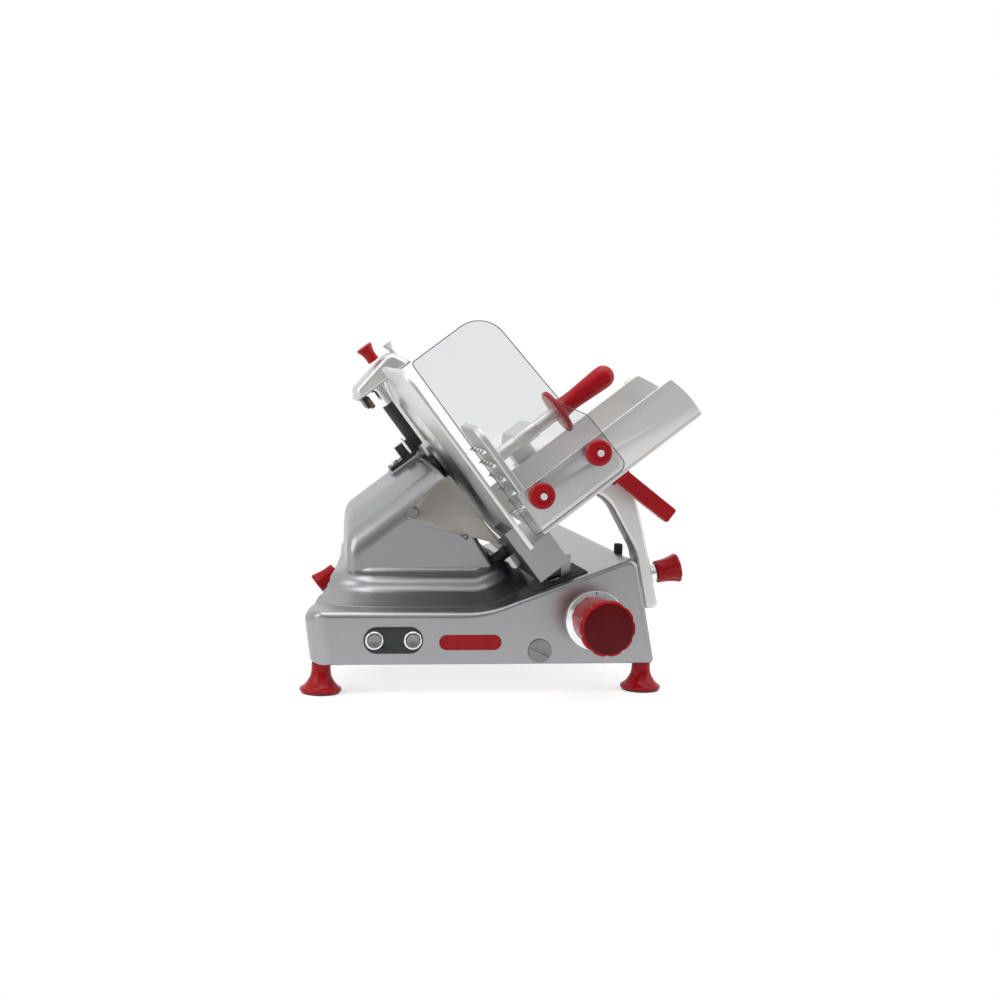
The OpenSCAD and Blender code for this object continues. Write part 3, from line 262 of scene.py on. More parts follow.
class Shape:
    """A mesh drawn in millimetres in one of the machine's local frames."""

    def __init__(self) -> None:
        """Starts an empty mesh."""
        self.mesh = bmesh.new()

    def skin(self, rings: Sequence[Sequence[Vector]], closed: bool) -> list[list[bmesh.types.BMVert]]:
        """Skins rings of equal length with smooth faces.

        Args:
            rings: Rings in order.
            closed: Whether the last ring is joined to the first.

        Returns:
            The vertices, ring by ring.
        """
        rows = [[self.mesh.verts.new(point) for point in ring] for ring in rings]
        count = len(rows[0])
        for low, high in zip(rows, [*rows[1:], rows[0]] if closed else rows[1:]):
            for i in range(count):
                j = (i + 1) % count
                self.mesh.faces.new((low[i], low[j], high[j], high[i])).smooth = True
        return rows

    def loft(self, rings: Sequence[Sequence[Vector]]) -> "Shape":
        """Skins rings and closes both ends with flat faces."""
        rows = self.skin(rings, False)
        self.mesh.faces.new(rows[0][::-1])
        self.mesh.faces.new(rows[-1])
        return self

    def turned(self, profile: Sequence[Point], axis: Axis, centre: Vector = ORIGIN,
               segments: int = 72, fluting: Fluting | None = None) -> "Shape":
        """Turns a profile of (radius, height) round an axis.

        Args:
            profile: Radius and height from one end to the other.
            axis: Axis of the turning.
            centre: Point that the axis goes through.
            segments: Number of steps round the axis.
            fluting: Grip flutes, if the piece has any.

        Returns:
            The shape itself.
        """
        rings = []
        for radius, height in profile:
            ring = []
            for i in range(segments):
                angle = 2 * math.pi * i / segments
                reach = radius - (fluting.cut(angle, height) if fluting else 0.0)
                ring.append(centre + axis.point(reach * math.cos(angle), reach * math.sin(angle), height))
            rings.append(ring)
        return self.loft(rings)

    def hoop(self, rings: Sequence[Sequence[Vector]]) -> "Shape":
        """Skins rings and joins the last to the first, which leaves a hole in the middle."""
        self.skin(rings, True)
        return self

    def ring(self, profile: Sequence[Point], axis: Axis, centre: Vector, segments: int = 72) -> "Shape":
        """Turns a closed profile of (radius, height) round an axis."""
        angles = [2 * math.pi * i / segments for i in range(segments)]
        return self.hoop([[centre + axis.point(radius * math.cos(a), radius * math.sin(a), height) for a in angles]
                          for radius, height in profile])

    def plate(self, corners: Sequence[Corner], low: float, high: float, edge: float | Sequence[float],
              plane: Plane, steps: int = 3) -> "Shape":
        """Thickens a rounded outline, with its edges rounded on both faces.

        Args:
            corners: Corners of the closed outline in the plane, each with its radius.
            low: Depth of the first face.
            high: Depth of the second face.
            edge: Radius of the rounded edges, or one for the edge from each corner to the next.
            plane: Plane of the outline.
            steps: Number of chords in the rounding of the edges.

        Returns:
            The shape itself.
        """
        radii = [edge] * len(corners) if isinstance(edge, float) else edge
        near = rounding_depths(radii, steps)
        rings = []
        for away, depth in [*((d, low + d) for d in near), *((d, high - d) for d in reversed(near))]:
            outline = rounded(drawn_in(corners, [eased(away, radius) for radius in radii]), ARC_CHORDS)
            rings.append([plane.point(u, v, depth) for u, v in outline])
        return self.loft(rings)

    def block(self, low: Vector, high: Vector, edge: float) -> "Shape":
        """A box between two corners, with rounded edges."""
        corners = [(low.x, low.z, edge), (high.x, low.z, edge), (high.x, high.z, edge), (low.x, high.z, edge)]
        return self.plate(corners, low.y, high.y, edge, Plane.FRONT)

    def copied(self, node: str, edge: float, sharp: float = 30.0) -> "Shape":
        """Adds a frame node's solid in metres, with its sharp edges broken.

        Args:
            node: Name of the node.
            edge: Width of the broken edge in millimetres.
            sharp: Least angle in degrees between two faces of a sharp edge.

        Returns:
            The shape itself.
        """
        self.mesh.from_mesh(frame["nodes"][node].data)
        bmesh.ops.remove_doubles(self.mesh, verts=self.mesh.verts, dist=SOLID_WELD)
        bmesh.ops.dissolve_limit(self.mesh, angle_limit=FLAT, verts=self.mesh.verts,
                                 edges=self.mesh.edges)
        edges = [e for e in self.mesh.edges
                 if len(e.link_faces) == 2 and e.calc_face_angle(0.0) > math.radians(sharp)]
        ends = set(edges)
        for face in self.mesh.faces:
            face.smooth = not ends.issuperset(face.edges)
        if edge > 0.0:
            made = bmesh.ops.bevel(self.mesh, geom=edges, offset=edge * MM, segments=2, profile=0.5, affect="EDGES",
                                   clamp_overlap=True)
            for face in made["faces"]:
                face.smooth = True
        return self

    def piece(self, name: str, place: Matrix, material: bpy.types.Material,
              smooth: float = SMOOTH) -> bpy.types.Object:
        """Makes the shape an object at the origin, with its place in its mesh.

        Args:
            name: Name of the object.
            place: Matrix from the local frame to the part's frame.
            material: Finish of the object.
            smooth: Angle in degrees under which neighbouring faces are shaded as one.

        Returns:
            The new object.
        """
        self.mesh.transform(place)
        bmesh.ops.remove_doubles(self.mesh, verts=self.mesh.verts, dist=WELD)
        bmesh.ops.recalc_face_normals(self.mesh, faces=self.mesh.faces)
        made = bpy.data.meshes.new(name)
        self.mesh.to_mesh(made)
        self.mesh.free()
        return shown(name, made, material, smooth)

    def stand_for(self, node: str, name: str, place: Matrix, finish: "Finish", smooth: float = SMOOTH) -> None:
        """Makes the shape a piece that rides with a node and hides it.

        Args:
            node: Node that it stands for.
            name: Name of the piece.
            place: Matrix from the local frame to the part's frame.
            finish: Finish of the piece.
            smooth: Angle in degrees under which neighbouring faces are shaded as one.
        """
        thing = self.piece(name, place, finish.material(), smooth)
        ride_with(thing, node)
        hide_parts(node)
        LOG.info("%s stands for %s", name, node)

    def add_on(self, node: str, name: str, place: Matrix, finish: "Finish", smooth: float = SMOOTH) -> None:
        """Makes the shape a detail that rides with a node, which stays; its arguments are those of stand_for."""
        add_on(self.piece(name, place, finish.material(), smooth), node)


def shown(name: str, mesh: bpy.types.Mesh, material: bpy.types.Material, smooth: float) -> bpy.types.Object:
    """Links a finished mesh as an object, with its smooth faces shaded as one up to an angle."""
    smooth_faces = [face.use_smooth for face in mesh.polygons]
    mesh.set_sharp_from_angle(angle=math.radians(smooth))
    mesh.polygons.foreach_set("use_smooth", smooth_faces)
    mesh.materials.clear()
    mesh.materials.append(material)
    thing = bpy.data.objects.new(name, mesh)
    bpy.context.scene.collection.objects.link(thing)
    return thing


def ride_with(thing: bpy.types.Object, node: str) -> None:
    """Lets a piece move with a node's body."""
    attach(thing, BODY_OF[node])


def add_on(thing: bpy.types.Object, node: str) -> None:
    """Lets a detail ride with the node that it sits on, which stays."""
    ride_with(thing, node)
    LOG.info("%s sits on %s", thing.name, node)


def group_socket(tree: bpy.types.NodeTree, name: str, way: str, kind: str, value: float | None = None) -> None:
    """Adds a named input or output to a node group.

    Args:
        tree: The node group.
        name: Name of the socket.
        way: INPUT or OUTPUT.
        kind: Socket type, such as NodeSocketFloat.
        value: Value that the input starts with.
    """
    socket = tree.interface.new_socket(name=name, in_out=way, socket_type=kind)
    if value is not None:
        socket.default_value = value


class Wiring:
    """Short calls for the nodes of one node tree."""

    def __init__(self, tree: bpy.types.NodeTree) -> None:
        """Keeps the tree that the nodes go in."""
        self.tree = tree

    def feed(self, slot: Socket, value: object) -> None:
        """Links an output to an input, or sets a fixed value on it."""
        if isinstance(value, Socket):
            self.tree.links.new(value, slot)
        else:
            slot.default_value = value

    def node(self, kind: str, feeds: dict[str | int, object] | None = None, **settings: object) -> bpy.types.Node:
        """Adds a node, sets its properties and feeds its inputs.

        Args:
            kind: Type of the node.
            feeds: Linked outputs and fixed values, by the name or the number of the input.
            **settings: Properties of the node.

        Returns:
            The new node.
        """
        made = self.tree.nodes.new(kind)
        for name, value in settings.items():
            setattr(made, name, value)
        for slot, value in (feeds or {}).items():
            self.feed(made.inputs[slot], value)
        return made

    def math(self, way: str, *values: Value, clamp: bool = False) -> Socket:
        """A math node over fixed or linked values."""
        return self.node("ShaderNodeMath", dict(enumerate(values)), operation=way, use_clamp=clamp).outputs[0]

    def blend(self, first: Socket, share: Value, second: Socket, other: Value, clamp: bool = False) -> Socket:
        """Sum of two values, each times its share."""
        parts = self.math("MULTIPLY", first, share), self.math("MULTIPLY", second, other)
        return self.math("ADD", *parts, clamp=clamp)

    def noise(self, vector: Socket, scale: Socket, times: float, detail: float = 3.0, rough: float = 0.55) -> Socket:
        """Noise over a vector, with its scale taken a number of times."""
        return self.node("ShaderNodeTexNoise", {"Vector": vector, "Scale": self.math("MULTIPLY", scale, times),
                                                "Detail": detail, "Roughness": rough}).outputs["Fac"]

    def stretched(self, vector: Socket, by: tuple[float, float, float]) -> Socket:
        """A vector scaled along its three axes."""
        return self.node("ShaderNodeMapping", {"Vector": vector, "Scale": by}).outputs["Vector"]

    def spread(self, value: Socket, low: float, high: float, to_low: Value = 0.0, to_high: Value = 1.0) -> Socket:
        """Maps a value from one range to another, clamped."""
        return self.node("ShaderNodeMapRange", {"Value": value, "From Min": low, "From Max": high, "To Min": to_low,
                                                "To Max": to_high}).outputs["Result"]


Surface = tuple[Socket, Socket, Socket]


def surface_group(name: str, build: Callable[[Wiring, Socket, Socket, Socket], Surface]) -> bpy.types.NodeTree:
    """Builds a surface effect once: a vector and its sizes in, a tone, a gloss and a height out.

    Args:
        name: Name of the group.
        build: Makes the tone, the gloss and the height from the vector, the scale and the strength of the marks.

    Returns:
        The node group.
    """
    found = bpy.data.node_groups.get(name)
    if found:
        return found
    tree = bpy.data.node_groups.new(name, "ShaderNodeTree")
    group_socket(tree, "Vector", "INPUT", "NodeSocketVector")
    group_socket(tree, "Scale", "INPUT", "NodeSocketFloat", 1.0)
    group_socket(tree, "Marks", "INPUT", "NodeSocketFloat", 0.5)
    outputs = ("Tone", "Gloss", "Height")
    for output in outputs:
        group_socket(tree, output, "OUTPUT", "NodeSocketFloat")
    w = Wiring(tree)
    given = w.node("NodeGroupInput").outputs
    w.node("NodeGroupOutput", dict(zip(outputs, build(w, given["Vector"], given["Scale"], given["Marks"]))))
    return tree


def cast_grain(w: Wiring, place: Socket, scale: Socket, marks: Socket) -> Surface:
    """Linished casting: fine grain, soft cloudy tone and faint rub marks."""
    fine = w.noise(place, scale, 900.0, 2.0)
    cloud = w.noise(place, scale, 9.0, 4.0, 0.6)
    rubbed = w.noise(w.stretched(place, (12.0, 900.0, 900.0)), scale, 1.0, 2.0)
    tone = w.spread(w.blend(rubbed, 0.5, cloud, 0.5), 0.3, 0.7)
    gloss = w.spread(w.blend(rubbed, marks, cloud, 0.6), 0.3, 1.0)
    return tone, gloss, w.blend(fine, 0.6, rubbed, 0.4)


def brushed_lines(w: Wiring, place: Socket, scale: Socket, marks: Socket) -> Surface:
    """Brushed sheet: long fine lines and soft handling smears."""
    lines = w.noise(w.stretched(place, (8.0, 700.0, 700.0)), scale, 1.0, 3.0, 0.65)
    smear = w.spread(w.noise(place, scale, 14.0), 0.4, 0.75)
    return w.spread(lines, 0.25, 0.75), w.blend(lines, 0.6, smear, marks, clamp=True), lines


def moulded_skin(w: Wiring, place: Socket, scale: Socket, marks: Socket) -> Surface:
    """Moulded plastic: faint orange peel, slight flow tone and finger marks."""
    peel = w.noise(place, scale, 260.0, 2.0)
    flow = w.noise(place, scale, 22.0)
    touch = w.spread(w.noise(place, scale, 48.0, 4.0, 0.7), 0.45, 0.75)
    return w.spread(flow, 0.3, 0.7), w.blend(peel, 0.3, touch, marks, clamp=True), peel


def grit_grain(w: Wiring, place: Socket, scale: Socket, marks: Socket) -> Surface:
    """Bonded grit or rubber: coarse speckle all over."""
    speck = w.noise(place, scale, 1400.0, 2.0, 0.8)
    cloud = w.noise(place, scale, 60.0)
    return w.spread(speck, 0.35, 0.7), w.math("MULTIPLY", cloud, marks), speck


class Grain(Enum):
    """Surface effect that a finish uses."""

    CAST = "linished_casting"
    BRUSHED = "brushed_lines"
    MOULDED = "moulded_skin"
    GRIT = "bonded_grit"

    def group(self) -> bpy.types.NodeTree:
        """The node group of the effect, built on its first use."""
        builders = {Grain.CAST: cast_grain, Grain.BRUSHED: brushed_lines, Grain.MOULDED: moulded_skin,
                    Grain.GRIT: grit_grain}
        return surface_group(self.value, builders[self])


@dataclass(frozen=True)
class Finish:
    """One finish of the machine.

    Attributes:
        name: Name of the material.
        dark: Darker of its two tones, linear.
        light: Lighter of its two tones, linear.
        rough: Least and greatest roughness.
        metal: Metallic share.
        grain: Surface effect.
        scale: Scale of the effect.
        marks: Strength of its marks.
        relief: Height of its relief in millimetres.
        coat: Weight of a clear coat.
        turn: Turn of the effect in degrees about X, Y and Z.
        clear: Share of light let through.
        sheen: Strength of its plain reflection.
    """

    name: str
    dark: tuple[float, float, float]
    light: tuple[float, float, float]
    rough: tuple[float, float]
    metal: float = 0.0
    grain: Grain = Grain.MOULDED
    scale: float = 1.0
    marks: float = 0.4
    relief: float = 0.01
    coat: float = 0.0
    turn: tuple[float, float, float] = (0.0, 0.0, 0.0)
    clear: float = 0.0
    sheen: float = 0.5

    def material(self) -> bpy.types.Material:
        """The finish as a node material, built on its first use."""
        found = bpy.data.materials.get(self.name)
        if found:
            return found
        made = bpy.data.materials.new(self.name)
        made.use_nodes = True
        w = Wiring(made.node_tree)
        place = w.node("ShaderNodeMapping", {"Vector": w.node("ShaderNodeTexCoord").outputs["Object"],
                                             "Rotation": [math.radians(a) for a in self.turn]})
        effect = w.node("ShaderNodeGroup", {"Vector": place.outputs["Vector"], "Scale": self.scale,
                                            "Marks": self.marks}, node_tree=self.grain.group()).outputs
        tone = w.node("ShaderNodeMix", {"Factor": effect["Tone"]}, data_type="RGBA")
        for slot, colour in zip((s for s in tone.inputs if s.type == "RGBA"), (self.dark, self.light)):
            slot.default_value = (*colour, 1.0)
        bump = w.node("ShaderNodeBump", {"Strength": 1.0, "Distance": self.relief * MM, "Height": effect["Height"]})
        feeds = {"Base Color": next(s for s in tone.outputs if s.type == "RGBA"), "Normal": bump.outputs["Normal"],
                 "Roughness": w.spread(effect["Gloss"], 0.0, 1.0, *self.rough), "Metallic": self.metal,
                 "Specular IOR Level": self.sheen, "Coat Weight": self.coat, "Coat Roughness": COAT_ROUGHNESS,
                 "Transmission Weight": self.clear}
        shader = made.node_tree.nodes["Principled BSDF"]
        for name, value in feeds.items():
            w.feed(shader.inputs[name], value)
        return made


@dataclass(frozen=True)
class Finishes:
    """Every finish of the machine, with two darker ones that paint shade: on the thickness knob's face and along the
    clear guard's edges.
    """

    cast: Finish = Finish("satin_cast_aluminium", (0.30, 0.303, 0.318), (0.36, 0.36, 0.372), (0.26, 0.42), 1.0,
                          Grain.CAST, 1.0, 0.5, 0.012)
    arm: Finish = Finish("bead_blasted_aluminium", (0.60, 0.60, 0.60), (0.68, 0.68, 0.67), (0.36, 0.50), 1.0,
                         Grain.CAST, 1.3, 0.4, 0.015)
    steel: Finish = Finish("polished_steel", (0.48, 0.48, 0.49), (0.58, 0.58, 0.59), (0.28, 0.44), 1.0,
                           Grain.BRUSHED, 1.0, 0.5, 0.004, turn=(0.0, 38.0, 0.0))
    grey: Finish = Finish("grey_satin_metal", (0.20, 0.20, 0.205), (0.27, 0.27, 0.275), (0.32, 0.48), 1.0,
                          Grain.BRUSHED, 1.4, 0.4, 0.006)
    sheet: Finish = Finish("brushed_sheet", (0.50, 0.495, 0.485), (0.60, 0.595, 0.585), (0.30, 0.46), 1.0,
                           Grain.BRUSHED, 1.0, 0.4, 0.006, turn=(0.0, 38.0, 0.0))
    warm: Finish = Finish("warm_matt_sheet", (0.30, 0.28, 0.26), (0.36, 0.34, 0.315), (0.36, 0.50), 1.0,
                          Grain.BRUSHED, 0.8, 0.4, 0.006)
    red: Finish = Finish("red_gloss_moulding", (0.37, 0.001, 0.006), (0.44, 0.002, 0.009), (0.20, 0.38),
                         grain=Grain.MOULDED, marks=0.5, relief=0.02, coat=0.04, sheen=0.2)
    # Darker copy of the red moulding: painted shade for the thickness knob's face, which is the same red but reflects
    # the dim room in front.
    shaded_knob_red: Finish = Finish("knob_face_painted_shade", (0.105, 0.003, 0.006), (0.145, 0.005, 0.009), (0.22, 0.42),
                            grain=Grain.MOULDED, marks=0.6, relief=0.03, coat=0.02, sheen=0.12)
    panel: Finish = Finish("dark_panel_film", (0.028, 0.029, 0.034), (0.040, 0.041, 0.046), (0.30, 0.48),
                           grain=Grain.MOULDED, scale=2.0, relief=0.01, sheen=0.3)
    black: Finish = Finish("black_moulding", (0.012, 0.012, 0.013), (0.022, 0.022, 0.023), (0.32, 0.55),
                           grain=Grain.MOULDED, scale=2.0, relief=0.03)
    rubber: Finish = Finish("black_rubber", (0.010, 0.010, 0.011), (0.020, 0.020, 0.021), (0.55, 0.80),
                            grain=Grain.GRIT, scale=0.6, marks=0.5, relief=0.02)
    stone: Finish = Finish("bonded_grit_stone", (0.16, 0.10, 0.075), (0.26, 0.17, 0.13), (0.70, 0.95),
                           grain=Grain.GRIT, marks=0.4, relief=0.05)
    board: Finish = Finish("circuit_board", (0.01, 0.06, 0.025), (0.02, 0.09, 0.04), (0.35, 0.5),
                           grain=Grain.MOULDED, scale=3.0)
    clear: Finish = Finish("clear_moulding", (0.80, 0.81, 0.82), (0.83, 0.84, 0.85), (0.02, 0.05),
                           grain=Grain.MOULDED, scale=0.5, marks=0.3, relief=0.002, clear=1.0)
    # Dark grey for the guard's edges: painted shade standing in for the dark line that a clear plate shows at its
    # edges through refraction and reflection.
    rim: Finish = Finish("guard_edge_painted_shade", (0.10, 0.105, 0.11), (0.16, 0.165, 0.17), (0.25, 0.45),
                         grain=Grain.MOULDED, scale=2.0)


FINISH = Finishes()


class RepeatTree:
    """A Geometry Nodes tree that repeats one small shape and gives it a finish."""

    def __init__(self, name: str, inputs: Sequence[tuple[str, str, float]]) -> None:
        """Starts a tree with named inputs.

        Args:
            name: Name of the tree.
            inputs: Name, socket type and first value of each input.
        """
        self.tree = bpy.data.node_groups.new(name, "GeometryNodeTree")
        group_socket(self.tree, "Geometry", "OUTPUT", "NodeSocketGeometry")
        for title, kind, value in inputs:
            group_socket(self.tree, title, "INPUT", kind, value)
        self.w = Wiring(self.tree)
        self.given = self.w.node("NodeGroupInput").outputs

    def close(self, points: Socket, shape: Socket, material: bpy.types.Material) -> None:
        """Ends the tree: the shape on every point, realized and finished.

        Args:
            points: Points that carry the shape.
            shape: Geometry that is repeated.
            material: Finish of the copies.
        """
        copies = self.w.node("GeometryNodeInstanceOnPoints", {"Points": points, "Instance": shape})
        real = self.w.node("GeometryNodeRealizeInstances", {"Geometry": copies.outputs["Instances"]})
        finish = self.w.node("GeometryNodeSetMaterial", {"Geometry": real.outputs["Geometry"], "Material": material})
        self.w.node("NodeGroupOutput", {"Geometry": finish.outputs["Geometry"]})

    def grown(self, name: str, place: Matrix, material: bpy.types.Material, smooth: float = SMOOTH,
              **sizes: float) -> bpy.types.Object:
        """Runs the tree and keeps its result as a plain mesh.

        Args:
            name: Name of the object.
            place: Matrix from the local frame to the part's frame.
            material: Finish of the object.
            smooth: Angle in degrees under which neighbouring faces are shaded as one.
            **sizes: Values of the tree's inputs, by name.

        Returns:
            The new object.
        """
        carrier = bpy.data.objects.new(name + "_carrier", bpy.data.meshes.new(name + "_carrier"))
        bpy.context.scene.collection.objects.link(carrier)
        modifier = carrier.modifiers.new("repeat", "NODES")
        modifier.node_group = self.tree
        for item in self.tree.interface.items_tree:
            if item.in_out == "INPUT" and item.name in sizes:
                modifier[item.identifier] = sizes[item.name]
        view = bpy.context.evaluated_depsgraph_get()
        mesh = bpy.data.meshes.new_from_object(carrier.evaluated_get(view), depsgraph=view)
        carrier.modifiers.remove(modifier)
        bpy.data.objects.remove(carrier)
        mesh.transform(place)
        mesh.shade_smooth()
        mesh.name = name
        return shown(name, mesh, material, smooth)


def row_of_ribs(material: bpy.types.Material) -> RepeatTree:
    """Straight round-topped ribs along X, side by side along Y."""
    tree = RepeatTree("row_of_ribs", [("count", "NodeSocketInt", 10), ("pitch", "NodeSocketFloat", 18.0),
                                      ("length", "NodeSocketFloat", 200.0), ("radius", "NodeSocketFloat", 2.0)])
    w, given = tree.w, tree.given
    step = w.node("ShaderNodeCombineXYZ", {"Y": given["pitch"]})
    line = w.node("GeometryNodeMeshLine", {"Count": given["count"], "Offset": step.outputs["Vector"]})
    end = w.node("ShaderNodeCombineXYZ", {"X": given["length"]})
    run = w.node("GeometryNodeCurvePrimitiveLine", {"End": end.outputs["Vector"]})
    section = w.node("GeometryNodeCurvePrimitiveCircle", {"Resolution": RIB_SIDES, "Radius": given["radius"]})
    rib = w.node("GeometryNodeCurveToMesh", {"Curve": run.outputs["Curve"], "Fill Caps": True,
                                             "Profile Curve": section.outputs["Curve"]})
    tree.close(line.outputs["Mesh"], rib.outputs["Mesh"], material)
    return tree


def field_of_spikes(material: bpy.types.Material) -> RepeatTree:
    """Pointed spikes on a grid, standing up along Z."""
    tree = RepeatTree("field_of_spikes", [("rows", "NodeSocketInt", 5), ("columns", "NodeSocketInt", 5),
                                          ("width", "NodeSocketFloat", 80.0), ("height", "NodeSocketFloat", 80.0),
                                          ("radius", "NodeSocketFloat", 4.0), ("length", "NodeSocketFloat", 5.0)])
    w, given = tree.w, tree.given
    grid = w.node("GeometryNodeMeshGrid", {"Vertices X": given["rows"], "Vertices Y": given["columns"],
                                           "Size X": given["width"], "Size Y": given["height"]})
    spike = w.node("GeometryNodeMeshCone", {"Vertices": SPIKE_SIDES, "Radius Top": SPIKE_TIP,
                                            "Radius Bottom": given["radius"], "Depth": given["length"]})
    tree.close(grid.outputs["Mesh"], spike.outputs["Mesh"], material)
    return tree


def blade_place(n: float, t: float) -> Point:
    """X and Z over the bench, in millimetres, of a place n along the blade's axis and t up its face."""
    place = BENCH.inverted() @ BLADE @ Vector((n, 0.0, t))
    return place.x, place.z


def turn_to(place: Matrix, centre: Vector, facing: Vector) -> Matrix:
    """Local frame moved to a centre, with its Z axis turned to face a direction."""
    return place @ Matrix.Translation(centre) @ facing.to_track_quat("Z", "Y").to_matrix().to_4x4()


@dataclass(frozen=True)
class CastBody:
    """Cast base with its tower, drawn over the bench.

    Attributes:
        width: Width along the bottom edge.
        depth: Depth from the front panel to the back.
        bottom: Height of the bottom edge.
        shoulder: Height of the level shoulder.
        flare: Lean of the left wall at the shoulder.
        slope_start: Left end of the sloping deck.
        ridge: Right end of the deck.
        sweep: Depth and shift of the left wall, from front to back.
        base_bends: Radii of the base's corners, from the bottom left over the top to the bottom right.
        base_edges: Radii of the front and back edges along the left wall, top, deck, right wall and bottom.
        tower_left: Left wall of the tower at its front.
        tower_taper: Shift of that wall at the back.
        tower_sink: Depth of the tower's bottom under the shoulder.
        tower_top: Place of the tower's top along the blade's axis.
        tower_face: Bend and foot of its blade side, along the blade's axis and up its face.
        tower_toe: Reach of its bottom past that foot.
        tower_bends: Radii of its corners, from the bottom left over the top to the bottom right.
        tower_edges: Radii of the tower's front and back edges along its left wall and its blade side.
        crown: Corners across the tower's top: distance behind and above the blade's centre, and radius.
        skirt: Profile of the flared foot: distance from the tower and height over the deck.
        skirt_bend: Radius of the flared foot's corners.
        skirt_side: Place that the foot's right side starts from, along the blade's axis and up its face.
        skirt_right: Greatest reach of its right side.
        skirt_inset: Least distance of its left side from the base's edge.
        pad: Reach of the raised pad under the sharpener, in the blade's frame.
        bumper: Reach of the rubber bumper on the ridge, over the bench.
    """

    width: float = 438.0
    depth: float = 440.0
    bottom: float = 38.0
    shoulder: float = 104.0
    flare: float = 10.0
    slope_start: float = 219.0
    ridge: Point = (409.0, 175.0)
    sweep: tuple[Point, ...] = ((0.0, 0.0), (60.0, 0.0), (210.0, 74.0), (440.0, 94.0))
    base_bends: tuple[float, ...] = (5.0, 14.0, 150.0, 13.0, 5.0)
    base_edges: tuple[float, ...] = (26.0, 8.0, 5.0, 10.0, 3.0)
    tower_left: float = 52.0
    tower_taper: float = 28.0
    tower_sink: float = 14.0
    tower_top: float = -25.0
    tower_face: tuple[Point, Point] = ((-41.0, -90.0), (-45.0, -144.0))
    tower_toe: float = 30.0
    tower_bends: tuple[float, ...] = (0.2, 26.0, 9.0, 90.0, 50.0, 0.2)
    tower_edges: Point = (16.0, 6.0)
    crown: tuple[Corner, ...] = ((-140.0, -60.0, 0.0), (-140.0, 17.0, 30.0), (-60.0, 29.5, 200.0),
                                 (40.0, 29.5, 120.0), (160.0, 0.0, 12.0), (160.0, -60.0, 0.0))
    skirt: tuple[Point, ...] = ((-3.0, 50.0), (0.0, 41.0), (4.0, 36.0), (10.0, 33.5), (17.0, 31.0), (23.0, 26.0),
                                (27.0, 19.0), (32.0, 14.0), (40.0, 10.5), (50.0, 7.0), (62.0, 3.0), (72.0, 0.4),
                                (76.0, -3.0))
    skirt_bend: float = 30.0
    skirt_side: Point = (-41.0, -126.0)
    skirt_right: float = 20.0
    skirt_inset: float = 9.0
    pad: tuple[Point, Point, Point] = ((-74.0, -27.0), (-18.0, 18.0), (20.0, 34.0))
    bumper: tuple[Point, Point, Point] = ((398.0, 407.5), (66.0, 78.0), (166.0, 183.0))

    def left_shift(self, y: float) -> float:
        """Shift of the left wall at a depth, eased over its bends."""
        total = 0.0
        window = [y + 6.0 * k for k in range(-5, 6)]
        for place in window:
            clamped = min(self.depth, max(0.0, place))
            for (y0, s0), (y1, s1) in zip(self.sweep, self.sweep[1:]):
                if y0 <= clamped <= y1:
                    total += s0 + (s1 - s0) * (clamped - y0) / (y1 - y0)
                    break
        return total / len(window)

    def deck(self, x: float) -> float:
        """Height of the deck at a distance from the left."""
        rise = (self.ridge[1] - self.shoulder) / (self.ridge[0] - self.slope_start)
        return self.shoulder + max(0.0, x - self.slope_start) * rise

    def base_ring(self, y: float) -> list[Vector]:
        """Ring of the base at a depth, drawn in where the front or back edge is rounded."""
        left = self.left_shift(y)
        places = [(left, self.bottom), (left - self.flare, self.shoulder), (self.slope_start, self.shoulder),
                  self.ridge, (self.width, self.bottom)]
        corners = [(*place, bend) for place, bend in zip(places, self.base_bends)]
        away = min(y, self.depth - y)
        ring = rounded(drawn_in(corners, [eased(away, radius) for radius in self.base_edges]), ARC_CHORDS)
        return [Vector((u, y, v)) for u, v in ring]

    def base_rings(self) -> list[list[Vector]]:
        """Rings of the base from front to back, closer together near both faces."""
        near = rounding_depths(self.base_edges, 9)
        reach = near[-1]
        steps = 24
        middle = [reach + (self.depth - 2 * reach) * i / steps for i in range(1, steps)]
        return [self.base_ring(y) for y in [*near, *middle, *(self.depth - d for d in reversed(near))]]

    def tower_ring(self, behind: float, top: float) -> list[Vector]:
        """Ring of the tower at a distance behind the blade's centre, where its top has a height."""
        front, back = self.crown[0][0], self.crown[-1][0]
        left = self.tower_left + self.tower_taper * (behind - front) / (back - front)
        lean = joint_axis("blade_spin")
        ridge = blade_place(self.tower_top, top)
        bend, foot = (blade_place(*place) for place in self.tower_face)
        bottom = self.shoulder - self.tower_sink
        places = [(left, bottom), (left, ridge[1] - (ridge[0] - left) * lean.z / lean.x), ridge, bend, foot,
                  (foot[0] + self.tower_toe, bottom)]
        corners = [(*place, radius) for place, radius in zip(places, self.tower_bends)]
        side, face = (eased(min(behind - front, back - behind), radius) for radius in self.tower_edges)
        ring = rounded(drawn_in(corners, [side, 0.0, face, face, face, 0.0]), ARC_CHORDS)
        return [Vector((u, BLADE_BEHIND_FRONT + behind, v)) for u, v in ring]

    def tower_rings(self) -> list[list[Vector]]:
        """Rings of the tower from its front face over the crown to its back."""
        return [self.tower_ring(behind, top) for behind, top in rounded(self.crown, 14)[1:-1]]

    def skirt_rings(self) -> list[list[Vector]]:
        """Rings of the flared foot, from the tower's wall out to the deck."""
        front, back = (BLADE_BEHIND_FRONT + self.crown[i][0] for i in (0, -1))
        right = blade_place(*self.skirt_side)[0]
        plan = [(self.tower_left, front, self.skirt_bend), (right, front, self.skirt_bend),
                (right, back, self.skirt_bend), (self.tower_left + self.tower_taper, back, self.skirt_bend)]
        rings = []
        for reach, height in smooth_through(self.skirt, 3):
            ring = []
            for u, v in rounded(drawn_in(plan, [-reach, -reach, -min(reach, self.skirt_right), -reach]), 12):
                edge = self.left_shift(v) - self.flare + self.skirt_inset
                inner = max(u, min(edge, self.tower_left + self.tower_taper))
                ring.append(Vector((inner, v, self.deck(inner) + height)))
            rings.append(ring)
        return rings

